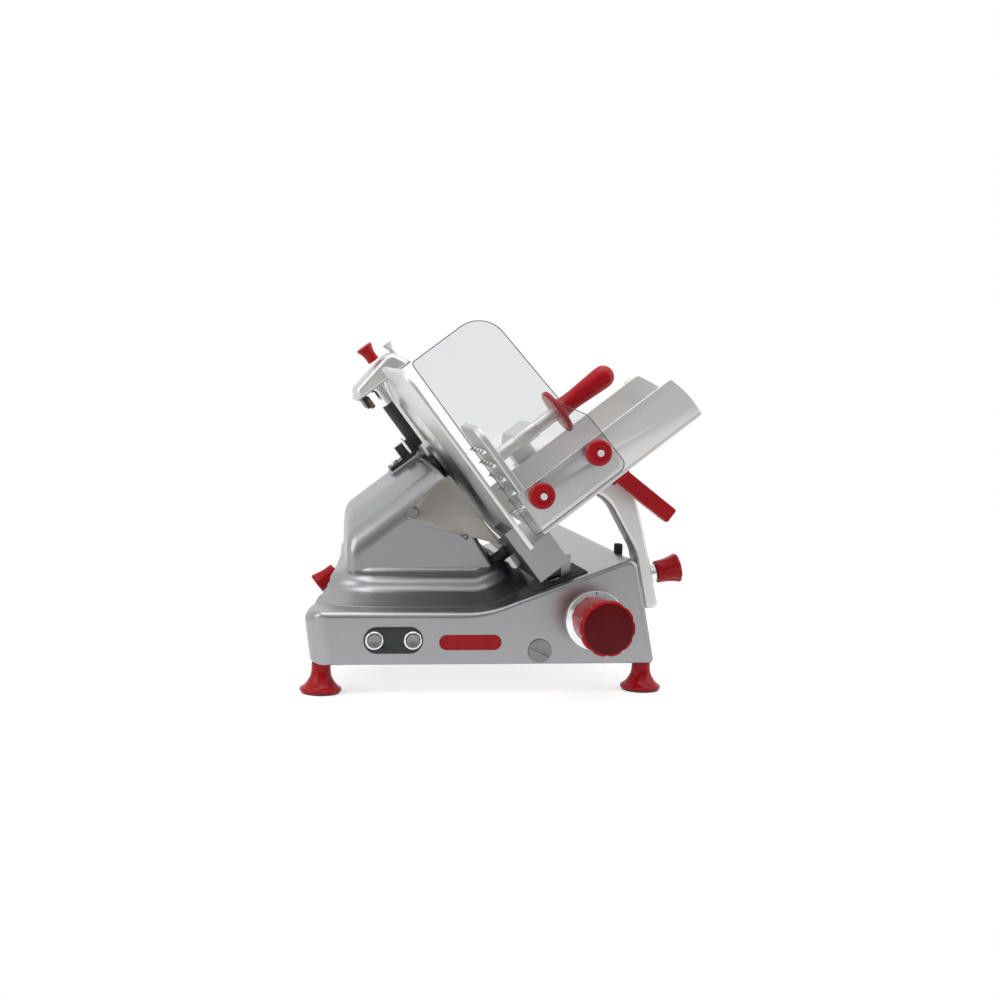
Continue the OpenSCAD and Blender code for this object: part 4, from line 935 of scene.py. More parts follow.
    def build(self) -> None:
        """Makes the casting and dresses it."""
        shape = Shape()
        shape.loft(self.base_rings())
        shape.loft(self.tower_rings())
        shape.loft(self.skirt_rings())
        shape.stand_for("base_casting", "cast_body", BENCH, FINISH.cast, SMOOTH_TURNED)
        pad = Shape().block(*(Vector(corner) for corner in zip(*self.pad)), 3.0)
        pad.add_on("base_casting", "sharpener_pad", BLADE, FINISH.cast)
        bumper = Shape().block(*(Vector(corner) for corner in zip(*self.bumper)), 2.0)
        bumper.add_on("base_casting", "ridge_bumper", BENCH, FINISH.rubber)


@dataclass(frozen=True)
class BellFoot:
    """Red bell foot under a corner of the base.

    Attributes:
        node: Node that it stands for.
        radius: Radius at the bench.
        neck: Radius under the base.
        height: Height of the base's bottom edge.
    """

    node: str
    radius: float = 26.0
    neck: float = 12.0
    height: float = 38.0

    def build(self) -> None:
        """Makes the foot and its pad."""
        low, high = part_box(self.node)
        place = millimetre_frame(Vector(((low.x + high.x) / 2, (low.y + high.y) / 2, 0.0)), RIGHT, BACK)
        bell = smooth_through([(self.radius - 0.8, 2.4), (self.radius, 3.6), (self.radius - 0.6, 6.4),
                               (self.radius - 5.0, 9.6), (self.neck + 5.0, 14.5), (self.neck + 1.4, 21.0),
                               (self.neck, 29.0), (self.neck, 36.6), (self.neck - 1.0, self.height)], 5)
        foot = Shape().turned([(self.radius - 3.0, 2.0), *bell], Axis.Z)
        foot.stand_for(self.node, self.node + "_bell", place, FINISH.red, 50.0)
        pad = Shape().turned([(self.radius - 5.0, 0.0), (self.radius - 2.4, 0.3), (self.radius - 2.0, 2.2)], Axis.Z)
        pad.add_on(self.node, self.node + "_pad", place, FINISH.rubber)


def stadium(centre: Point, width: float, height: float) -> list[Corner]:
    """Corners of an outline with straight sides and round ends."""
    return [(centre[0] + x * width / 2, centre[1] + y * height / 2, height / 2)
            for x, y in ((-1, -1), (1, -1), (1, 1), (-1, 1))]


def dressed_copy(node: str, finish: Finish, edge: float) -> None:
    """Stands a copy of a node's solid with broken edges in the node's place."""
    Shape().copied(node, edge).stand_for(node, node + "_dressed", Matrix.Identity(4), finish)


def finished(node: str, finish: Finish) -> None:
    """Gives a node that keeps its own shape a finish."""
    mesh = frame["nodes"][node].data
    mesh.materials.clear()
    mesh.materials.append(finish.material())
    LOG.info("%s keeps its shape as %s", node, finish.name)


@dataclass(frozen=True)
class ControlSide:
    """Control panel with its buttons, the red plate and the slotted plug, on the front of the base.

    Attributes:
        panel: Centre of the panel.
        panel_depth: Thickness of the panel.
        pitch: Distance between the buttons.
        button_radius: Radius of a button.
        button_face: Distance of a button's face from the base.
        bezel: Inner and outer radius of a bezel.
        plate: Centre of the red plate.
        plate_size: Width and height of the red plate.
    """

    panel: Point = (99.0, 69.0)
    panel_depth: float = 2.0
    pitch: float = 48.0
    button_radius: float = 8.0
    button_face: float = 6.0
    bezel: Point = (8.4, 11.6)
    plate: Point = (196.0, 66.0)
    plate_size: Point = (79.0, 19.0)

    def build(self) -> None:
        """Makes the panel, its bezels and buttons, the plate and the plug."""
        dressed_copy("control_panel", FINISH.panel, 0.6)
        bezels = Shape()
        inner, outer = self.bezel
        for side, node in ((-1.0, "start_button"), (1.0, "stop_button")):
            centre = Vector((self.panel[0] + side * self.pitch / 2, 0.0, self.panel[1]))
            front = -self.panel_depth
            bezels.ring([(inner, front), (inner, front - 1.2), (inner + 0.9, front - 2.0), (outer - 1.2, front - 1.8),
                         (outer - 0.3, front - 1.0), (outer, front)], Axis.Y, centre)
            button = Shape().turned([(self.button_radius, 5.0), (self.button_radius, 0.8 - self.button_face),
                                     (self.button_radius - 0.3, 0.3 - self.button_face),
                                     (self.button_radius - 0.9, -self.button_face),
                                     (self.button_radius - 1.6, 0.2 - self.button_face),
                                     (self.button_radius - 4.0, 0.8 - self.button_face),
                                     (1.0, 1.1 - self.button_face)], Axis.Y, centre, 48)
            button.stand_for(node, node + "_cap", BENCH, FINISH.grey, SMOOTH_TURNED)
        bezels.stand_for("button_bezels", "bezel_rings", BENCH, FINISH.steel, SMOOTH_TURNED)
        plate = Shape().plate(stadium(self.plate, *self.plate_size), -1.5, 0.0, 0.5, Plane.FRONT)
        plate.stand_for("badge_plate", "red_plate", BENCH, FINISH.red)
        dressed_copy("access_plug", FINISH.grey, 0.5)


@dataclass(frozen=True)
class ThicknessDial:
    """Dial ring with its tick and the lobed thickness knob.

    Attributes:
        ring_radius: Radius of the dial ring.
        ring_depth: Thickness of the dial ring.
        knob_radius: Radius of the knob's grip.
        neck_radius: Radius of the knob's body.
        knob_front: Distance of the knob's face from the base.
        knob_back: Distance of the knob's back from the base.
        grip_depth: Depth of the lobed grip.
        lobes: Number of lobes.
        tick: Width and length of the tick at the ring's top.
    """

    ring_radius: float = 38.0
    ring_depth: float = 4.0
    knob_radius: float = 35.0
    neck_radius: float = 30.0
    knob_front: float = 66.4
    knob_back: float = 4.4
    grip_depth: float = 14.0
    lobes: int = 10
    tick: Point = (1.4, 4.5)

    def build(self) -> None:
        """Makes the ring, the tick and the knob."""
        dressed_copy("dial_ring", FINISH.steel, 0.8)
        front = -self.knob_front
        seat = front + self.grip_depth
        reach = self.knob_radius
        profile = [(self.neck_radius - 1.0, -self.knob_back), (self.neck_radius, -self.knob_back - 1.0),
                   (self.neck_radius, seat + 2.0), (self.neck_radius + 1.2, seat + 0.6),
                   (reach - 1.4, seat - 0.2), (reach - 0.3, seat - 1.6), (reach, seat - 3.6), (reach, front + 3.2),
                   (reach - 0.4, front + 1.6), (reach - 1.4, front + 0.6), (reach - 2.4, front + 0.4),
                   (2.0, front + 0.4)]
        lobes = Fluting(self.lobes, 1.7, seat + 1.0, seat - 2.0, 5.0)
        knob = Shape().turned(profile, Axis.Y, segments=160, fluting=lobes)
        knob.stand_for("index_knob", "thickness_knob", DIAL, FINISH.red, SMOOTH_TURNED)
        # The knob's face gets the darker red: painted shade on the face that is turned away from the light.
        face = Shape().turned([(reach - 3.6, front + 0.8), (reach - 3.6, front + 0.2), (reach - 4.2, front),
                               (12.0, front), (2.0, front + 0.1)], Axis.Y, segments=160)
        face.add_on("index_knob", "thickness_knob_shaded_face", DIAL, FINISH.shaded_knob_red, SMOOTH_TURNED)
        width, length = self.tick
        tick = Shape().block(Vector((-width / 2, -self.ring_depth - 0.2, self.ring_radius - 1.0 - length)),
                             Vector((width / 2, -self.ring_depth + 0.5, self.ring_radius - 1.0)), 0.2)
        tick.add_on("dial_ring", "dial_tick", DIAL, FINISH.panel)


def fluted_knob(start: float, length: float, narrow: float, wide: float, axis: Axis, centre: Vector,
                away: float = 1.0) -> Shape:
    """Flared grip with eight flutes.

    Args:
        start: Place of its narrow end along the axis.
        length: Length of the grip.
        narrow: Radius at its narrow end.
        wide: Radius at its wide end.
        axis: Axis of the grip.
        centre: Point that the axis goes through.
        away: 1 or -1, the way from the narrow to the wide end.

    Returns:
        The shape.
    """
    widening = [(narrow + share * (wide - narrow), place * length)
                for share, place in ((0.05, 0.25), (0.25, 0.5), (0.66, 0.76))]
    heights = [(narrow - 1.2, 0.0), (narrow - 0.3, 0.4), (narrow, 1.4), *widening, (wide, length - 3.2),
               (wide - 0.3, length - 1.4), (wide - 1.4, length - 0.3), (wide - 3.0, length), (wide - 5.0, length),
               (wide - 6.0, length - 0.8), (2.0, length - 0.8)]
    profile = [(r, start + away * h) for r, h in [*heights[:2], *smooth_through(heights[2:7], 5), *heights[7:]]]
    flutes = Fluting(8, 0.9, start + away * 0.22 * length, start + away * 0.6 * length, 2.2)
    return Shape().turned(profile, axis, centre, 128, flutes)


@dataclass(frozen=True)
class BladeSide:
    """Blade, its guards, the tie rod and the slice deflector.

    Attributes:
        neck: Ends of the neck along the blade's axis, which is painted black as shade.
        neck_radii: Radii of its bore, its body and its rim.
        tie_along: Place of the tie-rod knob's seat along the blade's axis.
        tie_at: Tie rod's distance behind and above the blade's centre.
        knob_length: Length of the tie-rod knob.
        knurl: Centre of the deflector's knurled screw over the bench.
        pin: Centre of the deflector's pin.
        deflector_front: Depth of the deflector's front face.
    """

    neck: Point = (-24.0, -13.0)
    neck_radii: tuple[float, float, float] = (17.55, 20.0, 26.0)
    tie_along: float = -212.4
    tie_at: Point = (142.38, -56.0)
    knob_length: float = 34.0
    knurl: Point = (134.0, 217.0)
    pin: Point = (205.0, 186.0)
    deflector_front: float = 100.0

    def build(self) -> None:
        """Makes the blade, guards, knob and deflector."""
        for node, finish, edge in (("blade", FINISH.sheet, 0.0), ("blade_cover", FINISH.sheet, 0.5),
                                   ("ring_guard", FINISH.sheet, 1.2), ("slice_deflector", FINISH.warm, 0.5),
                                   ("tie_rod", FINISH.steel, 0.8)):
            dressed_copy(node, finish, edge)
        seat, end = self.neck
        bore, reach, rim = self.neck_radii
        # The neck is painted black: painted shade for its shadowed side under the deflector.
        neck = Shape().ring([(bore, seat), (rim, seat), (rim, seat + 4.0), (rim - 1.0, seat + 5.0),
                             (reach, seat + 5.0), (reach, end - 0.8), (reach - 0.8, end), (bore, end)],
                            Axis.X, ORIGIN)
        neck.stand_for("bearing_housing", "shaded_neck", BLADE, FINISH.black)
        seat = Vector((0.0, *self.tie_at))
        knob = fluted_knob(self.tie_along, self.knob_length, 11.0, 15.0, Axis.X, seat, -1.0)
        knob.stand_for("tie_rod_knob", "tie_rod_grip", BLADE, FINISH.red, SMOOTH_TURNED)
        front = self.deflector_front
        heads = Shape()
        place = Vector((self.knurl[0], 0.0, self.knurl[1]))
        heads.turned([(6.0, front), (7.0, front - 0.8), (7.0, front - 8.0), (6.2, front - 9.0), (1.0, front - 9.0)],
                     Axis.Y, place, 96, Fluting(32, 0.5, front + 1.0, front, 1.0))
        place = Vector((self.pin[0], 0.0, self.pin[1]))
        heads.turned([(3.2, front), (3.2, front - 1.6), (2.4, front - 2.6), (0.8, front - 3.0)], Axis.Y, place, 48)
        heads.stand_for("deflector_screws", "deflector_heads", BENCH, FINISH.grey, SMOOTH_TURNED)


@dataclass(frozen=True)
class GaugeSide:
    """Gauge plate on its carrier, with the slot's seal."""

    def build(self) -> None:
        """Dresses the plate, the carrier, the rod and the seal."""
        for node, finish, edge in (("gauge_plate", FINISH.sheet, 1.2), ("gauge_carrier", FINISH.cast, 4.0),
                                   ("gauge_seal", FINISH.rubber, 0.6), ("gauge_rod", FINISH.black, 0.8)):
            dressed_copy(node, finish, edge)


@dataclass(frozen=True)
class Carriage:
    """Arm with the tray, its walls, the bar handle and the lock knob.

    Attributes:
        arm_from: Depth of the arm's front face.
        arm_to: Depth of its back face.
        arm_edge: Radius of its edges.
        lock_seat: Distance of the lock knob from the base's wall.
        lock_length: Length of the lock knob.
        floor: Ends of the tray's floor along the blade's axis.
        floor_sides: Its near and far sides, from the blade's centre.
        floor_low: Height of its underside.
        floor_depth: Its thickness.
        ribs: Number of its ribs.
        bar_width: Width of the bar handle.
        bar_length: Length of the bar handle.
        bar_at: Place of the bar's root along the blade's axis and up its face.
        bar_turn: Lean of the bar from the blade's face, in degrees.
        bar_from: Depth of the bar's front face, from the blade's centre.
        bar_to: Depth of its back face.
    """

    arm_from: float = 27.0
    arm_to: float = 63.0
    arm_edge: float = 5.0
    lock_seat: float = 31.4
    lock_length: float = 31.0
    floor: Point = (14.0, 258.0)
    floor_sides: Point = (-316.0, -112.0)
    floor_low: float = -93.0
    floor_depth: float = 4.0
    ribs: int = 10
    bar_width: float = 20.0
    bar_length: float = 92.0
    bar_at: Point = (124.0, -93.0)
    bar_turn: float = 15.5
    bar_from: float = -295.0
    bar_to: float = -271.0

    def arm_corners(self) -> list[Corner]:
        """Corners of the curved arm over the bench."""
        lean = joint_axis("lock_turn")
        stud = BENCH.inverted() @ STUD.translation

        def wall(height: float, away: float) -> Point:
            """Place at a height, away from the base's right wall."""
            return stud.x - (height - stud.z) * lean.z / lean.x + away, height

        low = self.floor_low - 0.05
        return [(*wall(104.0, 24.0), 7.0), (*wall(104.0, 4.0), 7.0), (*wall(180.0, 4.0), 40.0),
                (*blade_place(118.0, low - 33.0), 60.0), (*blade_place(88.0, low), 3.0),
                (*blade_place(165.0, low), 3.0), (*blade_place(157.0, low - 37.0), 30.0), (*wall(215.0, 20.0), 60.0)]

    def build(self) -> None:
        """Makes the arm, the tray, the handle and the knob."""
        arm = Shape().plate(self.arm_corners(), self.arm_from, self.arm_to, self.arm_edge, Plane.FRONT, 5)
        arm.stand_for("carriage_arm", "curved_arm", BENCH, FINISH.arm, SMOOTH_TURNED)
        boss = Shape().turned([(11.0, 10.0), (11.0, 29.6), (10.0, 30.8), (7.2, 30.8)], Axis.X)
        boss.add_on("carriage_arm", "arm_boss", STUD, FINISH.steel)
        knob = fluted_knob(self.lock_seat, self.lock_length, 14.5, 19.0, Axis.X, ORIGIN)
        knob.stand_for("lock_knob", "lock_grip", STUD, FINISH.red, SMOOTH_TURNED)
        for node in ("tray_near_wall", "tray_far_wall"):
            dressed_copy(node, FINISH.sheet, 0.8)
        near, far = self.floor_sides
        floor = Shape().block(Vector((self.floor[0], near, self.floor_low)),
                              Vector((self.floor[1], far, self.floor_low + self.floor_depth)), 0.8)
        floor.stand_for("tray_floor", "tray_plate", BLADE, FINISH.sheet)
        pitch = (far - near) / (self.ribs + 1)
        start = Vector((self.floor[0] + 4.0, near + pitch, self.floor_low + self.floor_depth - 0.5))
        ribs = row_of_ribs(FINISH.sheet.material()).grown(
            "tray_ribs", BLADE @ Matrix.Translation(start), FINISH.sheet.material(), count=self.ribs, pitch=pitch,
            length=self.floor[1] - self.floor[0] - 8.0, radius=2.0)
        add_on(ribs, "tray_floor")
        self.bar()

    def bar(self) -> None:
        """Makes the flat bar handle with its clamped root."""
        lean = Matrix.Rotation(math.radians(self.bar_turn), 4, "Y")
        place = BLADE @ Matrix.Translation((self.bar_at[0], 0.0, self.bar_at[1])) @ lean.inverted()
        width = self.bar_width
        rise = width * math.tan(math.radians(self.bar_turn))
        corners = [(0.0, -2.5, 1.0), (0.0, -self.bar_length, 3.0), (width, -self.bar_length, 3.0),
                   (width, rise - 2.5, 1.0)]
        bar = Shape().plate(corners, self.bar_from, self.bar_to, 2.5, Plane.FRONT, 5)
        bar.stand_for("carriage_handle", "bar_handle", place, FINISH.red, SMOOTH_TURNED)
        root = Shape().block(Vector((self.bar_at[0] - 3.0, self.bar_from - 1.5, self.bar_at[1] - 9.0)),
                             Vector((self.bar_at[0] + width + 3.0, self.bar_to + 1.5, self.bar_at[1])), 2.0)
        root.add_on("carriage_handle", "bar_handle_root", BLADE, FINISH.red)


@dataclass(frozen=True)
class ClearGuard:
    """Clear hand guard on its two red knobs.

    Attributes:
        corners: Corners of the guard along the blade's axis and up its face, each with its radius.
        front: Depth of its front face, from the blade's centre.
        depth: Its thickness.
        knobs: Places of the knobs along the blade's axis, by node.
        knob_height: Height of the knobs.
        knob_radius: Radius of a knob.
        knob_depth: Depth of a knob.
    """

    corners: tuple[Corner, ...] = ((3.0, -86.0, 4.0), (3.0, 171.0, 5.0), (111.0, 171.0, 38.5), (123.0, 22.0, 26.0),
                                   (140.0, -6.0, 30.0), (144.0, -86.0, 11.0))
    front: float = -326.0
    depth: float = 4.0
    knobs: tuple[tuple[str, float], ...] = (("guard_knob_left", 36.0), ("guard_knob_right", 122.0))
    knob_height: float = -48.5
    knob_radius: float = 16.0
    knob_depth: float = 16.0

    def build(self) -> None:
        """Makes the guard and its knobs."""
        guard = Shape().plate(self.corners, self.front, self.front + self.depth, 0.7, Plane.FRONT)
        guard.stand_for("guard", "hand_guard", BLADE, FINISH.clear)
        # A dark ring just inside the guard's outline: painted shade for the dark edge line of the clear plate.
        outer, inner = (rounded(drawn_in(self.corners, [by] * len(self.corners)), ARC_CHORDS) for by in (-0.1, 0.9))
        near, far = self.front + 0.6, self.front + self.depth - 0.6
        rim = Shape().hoop([[Plane.FRONT.point(u, v, depth) for u, v in outline]
                            for outline, depth in ((outer, near), (outer, far), (inner, far), (inner, near))])
        rim.add_on("guard", "hand_guard_edge_shade", BLADE, FINISH.rim)
        back = self.front - 0.4
        for node, along in self.knobs:
            front = self.front - self.knob_depth
            profile = [(self.knob_radius - 4.0, back), (self.knob_radius - 3.2, back - 0.8),
                       (self.knob_radius - 3.0, back - 2.6), (self.knob_radius - 0.8, back - 3.4),
                       (self.knob_radius, back - 4.6), (self.knob_radius, front + 4.0),
                       (self.knob_radius - 0.4, front + 2.4), (self.knob_radius - 1.8, front + 0.8),
                       (self.knob_radius - 4.0, front + 0.2), (7.4, front), (6.6, front + 0.6), (4.4, front + 0.8)]
            knob = Shape().turned(profile, Axis.Y, Vector((along, 0.0, self.knob_height)), 120)
            knob.stand_for(node, node + "_grip", BLADE, FINISH.red, SMOOTH_TURNED)


@dataclass(frozen=True)
class FoodPress:
    """Spiked press with its tube, hand disc and handle.

    Attributes:
        behind: Distance of the press behind the front, from the blade's centre.
        plate: Width, drop and rise of the plate.
        plate_face: Place of the plate's face along the blade's axis.
        plate_depth: Thickness of the plate.
        spike_grid: Rows and columns of spikes.
        spike_span: Width and height of the field of spikes.
        tube_radius: Radius of the tube.
        eye: Start and length of the link's eye along the blade's axis.
        eye_at: Distance of the eye behind and above the blade's centre.
        eye_radii: Radii of the eye's bore and its rim.
        disc_at: Place of the hand disc along the blade's axis.
        disc_radius: Radius of the hand disc.
        handle_length: Length of disc and handle.
        grip_radius: Radius of the handle's end.
    """

    behind: float = -215.0
    plate: tuple[float, float, float] = (110.0, -80.0, 54.0)
    plate_face: float = 23.0
    plate_depth: float = 9.0
    spike_grid: tuple[int, int] = (5, 5)
    spike_span: Point = (80.0, 84.0)
    tube_radius: float = 9.0
    eye: Point = (64.4, 31.2)
    eye_at: Point = (-86.0, -62.0)
    eye_radii: Point = (13.05, 19.0)
    disc_at: float = 126.0
    disc_radius: float = 30.0
    handle_length: float = 92.0
    grip_radius: float = 14.5

    def build(self) -> None:
        """Makes the plate with its spikes, the arm and the handle."""
        width, low, high = self.plate
        corners = [(self.behind - width / 2, low, 6.0), (self.behind - width / 2, high, 24.0),
                   (self.behind + width / 2, high, 24.0), (self.behind + width / 2, low, 6.0)]
        plate = Shape().plate(corners, self.plate_face, self.plate_face + self.plate_depth, 2.0, Plane.SIDE, 4)
        plate.stand_for("press_plate", "press_pad", BLADE, FINISH.sheet)
        middle = Vector((self.plate_face - 1.8, self.behind, -21.0))
        spikes = field_of_spikes(FINISH.steel.material()).grown(
            "press_spikes", turn_to(BLADE, middle, Vector((-1.0, 0.0, 0.0))), FINISH.steel.material(), 25.0,
            rows=self.spike_grid[0], columns=self.spike_grid[1], width=self.spike_span[0],
            height=self.spike_span[1], radius=3.6, length=5.6)
        add_on(spikes, "press_plate")
        start, wide = self.eye
        bore, reach = self.eye_radii
        behind, drop = self.eye_at
        line = Vector((0.0, self.behind, 0.0))
        arm = Shape().turned([(self.tube_radius, self.plate_face + self.plate_depth),
                              (self.tube_radius, self.disc_at)], Axis.X, line, 96)
        arm.plate([(self.behind - 11.0, -10.0, 8.0), (self.behind - 11.0, 10.0, 8.0), (-150.0, 9.0, 60.0),
                   (behind + 8.0, -14.0, 22.0), (behind + reach - 2.0, drop + 15.0, 3.0),
                   (behind - reach + 2.0, drop + 15.0, 3.0), (behind - 16.0, -30.0, 18.0), (-150.0, -9.0, 60.0)],
                  start, start + wide, 3.0, Plane.SIDE, 4)
        arm.ring([(bore, start), (reach - 1.0, start), (reach, start + 1.0), (reach, start + wide - 1.0),
                  (reach - 1.0, start + wide), (bore, start + wide)], Axis.X, Vector((0.0, behind, drop)))
        arm.stand_for("press_arm", "press_link", BLADE, FINISH.sheet, SMOOTH_TURNED)
        disc = self.disc_radius
        shape = [(14.0, 0.0), (disc - 1.2, 0.8), (disc - 0.2, 2.2), (disc, 4.0), (disc - 0.3, 6.0), (disc - 1.6, 7.4),
                 (16.0, 9.2), (13.4, 12.0), (12.2, 18.0), (12.0, 30.0), (13.2, 50.0),
                 (self.grip_radius, self.handle_length - 20.0)]
        tip = [(self.grip_radius * math.cos(math.radians(a)),
                self.handle_length - self.grip_radius * (1.0 - math.sin(math.radians(a)))) for a in range(0, 86, 12)]
        profile = [shape[0], *smooth_through(shape[1:6], 3), *smooth_through(shape[6:], 4), *tip]
        handle = Shape().turned([(r, self.disc_at + h) for r, h in profile], Axis.X, line, 96)
        handle.stand_for("press_handle", "press_grip", BLADE, FINISH.red, SMOOTH_TURNED)


@dataclass(frozen=True)
class Sharpener:
    """Sharpener: domed cap on its post, with two stones, a red knob and a push button.

    Attributes:
        cap: Corners of the cap's outline along the blade's axis and up its face, each with its radius.
        half_depth: Half of the cap's depth.
        cap_edge: Radius of its edges.
        knob_foot: Height of the knob's foot.
        knob_height: Height of the knob.
        bolt: Seat of the bolt on the sleeve's bracket, from the blade's centre.
        rod: Foot of the small stop rod beside the bolt.
        rod_radius: Radius of the stop rod.
        rod_rise: Height of the stop rod.
    """

    cap: tuple[Corner, ...] = ((-52.0, 139.5, 2.0), (-52.0, 145.5, 4.0), (-46.0, 156.5, 12.0), (14.0, 168.5, 10.0),
                               (26.0, 166.5, 10.0), (38.0, 143.5, 4.0), (38.0, 139.5, 2.0))
    half_depth: float = 26.0
    cap_edge: float = 8.0
    knob_foot: float = 168.9
    knob_height: float = 24.0
    bolt: tuple[float, float, float] = (-60.0, 0.0, 38.9)
    rod: tuple[float, float, float] = (-34.0, -10.0, 38.9)
    rod_radius: float = 2.2
    rod_rise: float = 24.0

    def build(self) -> None:
        """Makes the cap, the knob and the button, and dresses the rest."""
        dome = drawn_in(self.cap, [1.5] * len(self.cap))
        edges = [*([self.cap_edge] * (len(dome) - 1)), 0.0]
        cap = Shape().plate(dome, 1.5 - self.half_depth, self.half_depth - 1.5, edges, Plane.FRONT, 7)
        low, high = self.cap[0], self.cap[-1]
        cap.block(Vector((low[0], -self.half_depth, low[1])), Vector((high[0], self.half_depth, high[1] + 4.0)), 1.2)
        cap.stand_for("sharpener_cap", "sharpener_dome", BLADE, FINISH.arm, SMOOTH_TURNED)
        foot, top = self.knob_foot, self.knob_foot + self.knob_height
        profile = [(7.4, foot), *smooth_through([(8.2, foot + 0.6), (7.9, foot + 6.0), (8.6, foot + 13.0),
                                                 (10.9, top - 4.6), (11.5, top - 2.4), (11.0, top - 0.8),
                                                 (9.0, top - 0.1)], 5), (2.0, top)]
        knob = Shape().turned(profile, Axis.Z, segments=96)
        knob.stand_for("sharpener_knob", "sharpener_grip", BLADE, FINISH.red, 45.0)
        dressed_copy("deburr_button", FINISH.arm, 1.0)
        dressed_copy("sharpener_sleeve", FINISH.black, 0.8)
        bolt = Shape().turned([(5.0, 0.0), (5.0, 2.6), (4.2, 3.6), (1.0, 3.8)], Axis.Z, Vector(self.bolt), 6)
        rod = [(self.rod_radius, 0.0), (self.rod_radius, self.rod_rise - 0.6), (self.rod_radius - 0.6, self.rod_rise)]
        bolt.turned(rod, Axis.Z, Vector(self.rod), 32)
        bolt.add_on("sharpener_sleeve", "sharpener_bolt", BLADE, FINISH.steel)
        dressed_copy("stone_carrier", FINISH.black, 0.5)
        for node in ("grinding_stone", "deburring_stone"):
            dressed_copy(node, FINISH.stone, 0.5)


@dataclass(frozen=True)
class InnerWorks:
    """Pieces inside the machine or plain by nature, which keep their shape and get a finish."""

    def build(self) -> None:
        """Finishes every node that is left."""
        kept = {FINISH.steel: ("bottom_cover", "blade_bearings", "blade_screws", "motor_shaft",
                               "carriage_rod", "press_rod", "press_slider", "sharpener_post", "index_shaft"),
                FINISH.grey: ("blade_shaft",),
                FINISH.black: ("motor_body", "cable_gland"), FINISH.rubber: ("drive_belt",),
                FINISH.board: ("control_board",), FINISH.cast: ("carriage_slider",)}
        for finish, nodes in kept.items():
            for node in nodes:
                finished(node, finish)


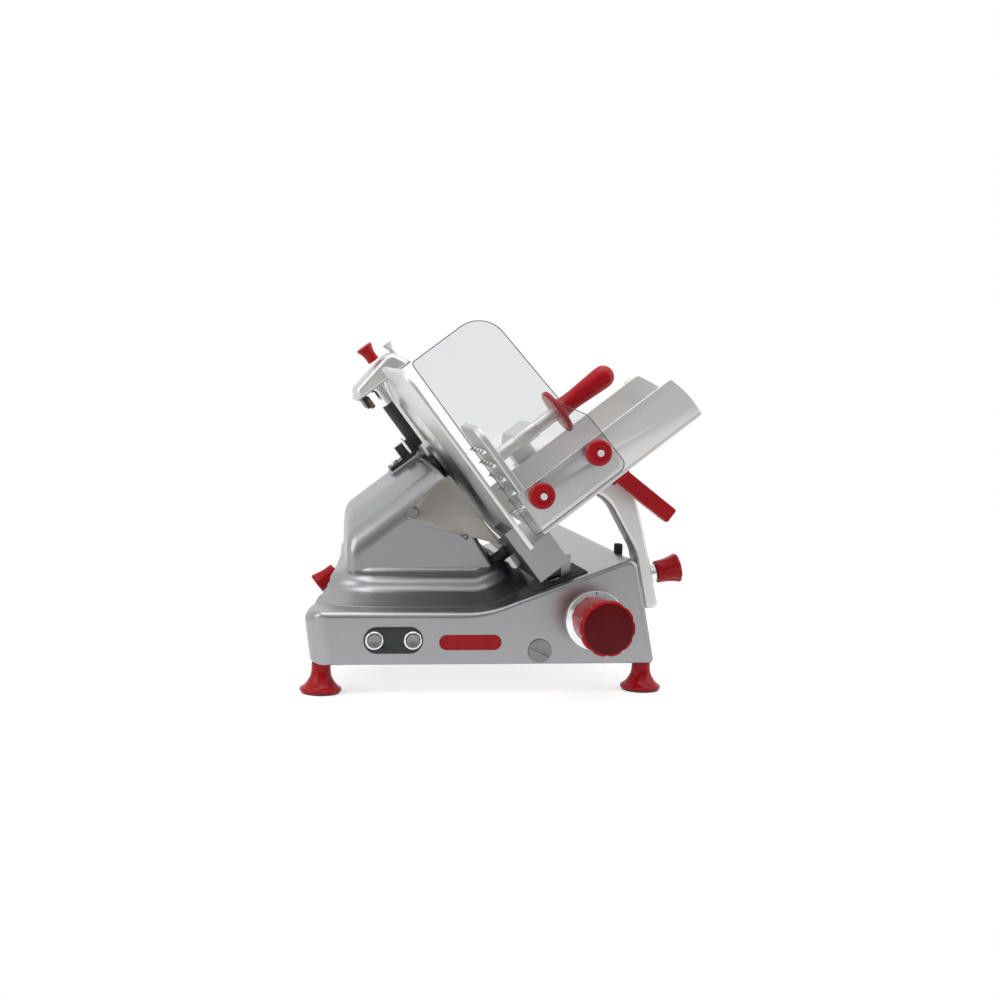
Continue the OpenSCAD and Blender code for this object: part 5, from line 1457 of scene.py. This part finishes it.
@dataclass(frozen=True)
class Studio:
    """Pale floor, soft light and the camera.

    Attributes:
        target: Point that the camera looks at, in metres.
        azimuth: Turn of the camera to the left, in degrees.
        elevation: Height of the camera, in degrees.
        roll: Roll of the camera, in degrees.
        distance: Distance of the camera.
        lens: Focal length in millimetres.
        floor_size: Width of the floor.
        floor_tone: Brightness of the floor under the machine.
        floor_fill: Light that the floor gives by itself.
        floor_fade: Distances from the machine between which the floor turns white.
        room_back: Range of directions from front to back, and the room's brightness at both ends.
        room_top: Range of directions upwards, and the brightness added at both ends.
        room_cut: Share of the room's light kept from dull surfaces.
        lamps: Name, place, width and height, and power in watts of each lamp.
        lamp_aim: Point that the lamps face.
    """

    target: tuple[float, float, float] = (0.024626, -0.031343, 0.230539)
    azimuth: float = -12.0
    elevation: float = 5.5
    roll: float = 2.0
    distance: float = 2.2
    lens: float = 59.54
    floor_size: float = 12.0
    floor_tone: float = 0.80
    floor_fill: float = 0.52
    floor_fade: Point = (0.45, 1.1)
    room_back: tuple[float, float, float, float] = (-0.9, 0.5, 0.30, 1.0)
    room_top: tuple[float, float, float, float] = (0.1, 0.9, 0.0, 0.45)
    room_cut: float = 0.45
    lamps: tuple[tuple[str, Corner, Point, float], ...] = (("top_lamp", (0.1, -0.2, 1.9), (1.6, 1.6), 16.0),
                                                           ("left_lamp", (-1.9, -0.9, 1.1), (1.2, 1.6), 13.0),
                                                           ("right_lamp", (1.9, -0.7, 1.0), (0.9, 1.6), 7.0))
    lamp_aim: Corner = (0.0, 0.0, 0.2)

    def camera(self) -> None:
        """Sets the camera at the viewing angle."""
        turn, rise, roll = (math.radians(a) for a in (self.azimuth, self.elevation, self.roll))
        back = Vector((math.sin(turn) * math.cos(rise), -math.cos(turn) * math.cos(rise), math.sin(rise)))
        level = Vector((math.cos(turn), math.sin(turn), 0.0))
        upright = back.cross(level)
        right = level * math.cos(roll) + upright * math.sin(roll)
        up = upright * math.cos(roll) - level * math.sin(roll)
        data = bpy.data.cameras.new("front_camera")
        data.lens = self.lens
        data.sensor_width = 36.0
        data.clip_end = 50.0
        seat = bpy.data.objects.new("front_camera", data)
        seat.matrix_world = (Matrix.Translation(Vector(self.target) + back * self.distance)
                             @ Matrix((right, up, back)).transposed().to_4x4())
        bpy.context.scene.collection.objects.link(seat)
        bpy.context.scene.camera = seat

    def seen(self, w: Wiring) -> Socket:
        """1 for rays that see the backdrop: from the camera, off gloss or through clear pieces."""
        path = w.node("ShaderNodeLightPath").outputs
        both = w.math("MAXIMUM", path["Is Camera Ray"], path["Is Glossy Ray"])
        return w.math("MAXIMUM", both, path["Is Transmission Ray"])

    def floor(self) -> None:
        """Lays the pale floor, which fades to white away from the machine and keeps its shadow."""
        shape = Shape()
        half = self.floor_size / 2
        corners = [shape.mesh.verts.new((x, y, 0.0)) for x, y in ((-half, -half), (half, -half), (half, half),
                                                                  (-half, half))]
        shape.mesh.faces.new(corners)
        made = bpy.data.materials.new("pale_floor")
        made.use_nodes = True
        w = Wiring(made.node_tree)
        made.node_tree.nodes.remove(made.node_tree.nodes["Principled BSDF"])
        plain = w.node("ShaderNodeBsdfDiffuse", {"Color": (*[self.floor_tone] * 3, 1.0)}).outputs["BSDF"]
        fill = w.node("ShaderNodeEmission", {"Strength": self.floor_fill}).outputs["Emission"]
        lit = w.node("ShaderNodeAddShader", {0: plain, 1: fill}).outputs["Shader"]
        white = w.node("ShaderNodeEmission").outputs["Emission"]
        away = w.node("ShaderNodeVectorMath", {0: w.node("ShaderNodeTexCoord").outputs["Object"]}, operation="LENGTH")
        fade = w.node("ShaderNodeMixShader", {0: w.spread(away.outputs["Value"], *self.floor_fade), 1: lit, 2: white})
        shown_to = w.node("ShaderNodeMixShader", {0: self.seen(w), 1: plain, 2: fade.outputs["Shader"]})
        w.feed(made.node_tree.nodes["Material Output"].inputs["Surface"], shown_to.outputs["Shader"])
        floor = shape.piece("pale_floor", Matrix.Identity(4), made)

    def world(self) -> None:
        """Surrounds the machine with a soft room: white behind it and dimmer in front."""
        made = bpy.data.worlds.new("soft_room")
        made.use_nodes = True
        bpy.context.scene.world = made
        w = Wiring(made.node_tree)
        back = made.node_tree.nodes["Background"]
        back.inputs["Color"].default_value = (1.0, 1.0, 1.0, 1.0)
        way = w.node("ShaderNodeSeparateXYZ", {"Vector": w.node("ShaderNodeTexCoord").outputs["Generated"]}).outputs
        behind = w.spread(way["Y"], *self.room_back)
        above = w.spread(way["Z"], *self.room_top)
        room = w.math("MINIMUM", w.math("ADD", behind, above), 1.0)
        path = w.node("ShaderNodeLightPath").outputs
        dimmed = w.math("MULTIPLY", path["Is Diffuse Ray"], w.math("MULTIPLY", room, self.room_cut))
        level = w.math("SUBTRACT", room, dimmed)
        w.feed(back.inputs["Strength"], w.math("MAXIMUM", level, path["Is Camera Ray"]))

    def lamp(self, name: str, place: Corner, size: Point, power: float) -> None:
        """Hangs a soft lamp that faces the machine.

        Args:
            name: Name of the lamp.
            place: Its place in metres.
            size: Its width and height.
            power: Its power in watts.
        """
        data = bpy.data.lights.new(name, "AREA")
        data.shape = "RECTANGLE"
        data.size, data.size_y = size
        data.energy = power
        lamp = bpy.data.objects.new(name, data)
        lamp.location = place
        lamp.rotation_euler = (Vector(place) - Vector(self.lamp_aim)).to_track_quat("Z", "Y").to_euler()
        bpy.context.scene.collection.objects.link(lamp)

    def build(self) -> None:
        """Sets the floor, the room and the lamps."""
        bpy.context.scene.view_settings.view_transform = "Standard"
        self.floor()
        self.world()
        for lamp in self.lamps:
            self.lamp(*lamp)
        LOG.info("studio is lit")


def main() -> None:
    """Builds the machine around its frame and sets the studio."""
    logging.basicConfig(level=logging.INFO, format="%(message)s")
    studio = Studio()
    studio.camera()
    feet = [BellFoot(f"foot_{end}_{side}") for end in ("front", "rear") for side in ("left", "right")]
    for assembly in (CastBody(), *feet, ControlSide(), ThicknessDial(), BladeSide(), GaugeSide(), Carriage(),
                     ClearGuard(), FoodPress(), Sharpener(), InnerWorks()):
        assembly.build()
    studio.build()


if __name__ == "__main__":
    main()
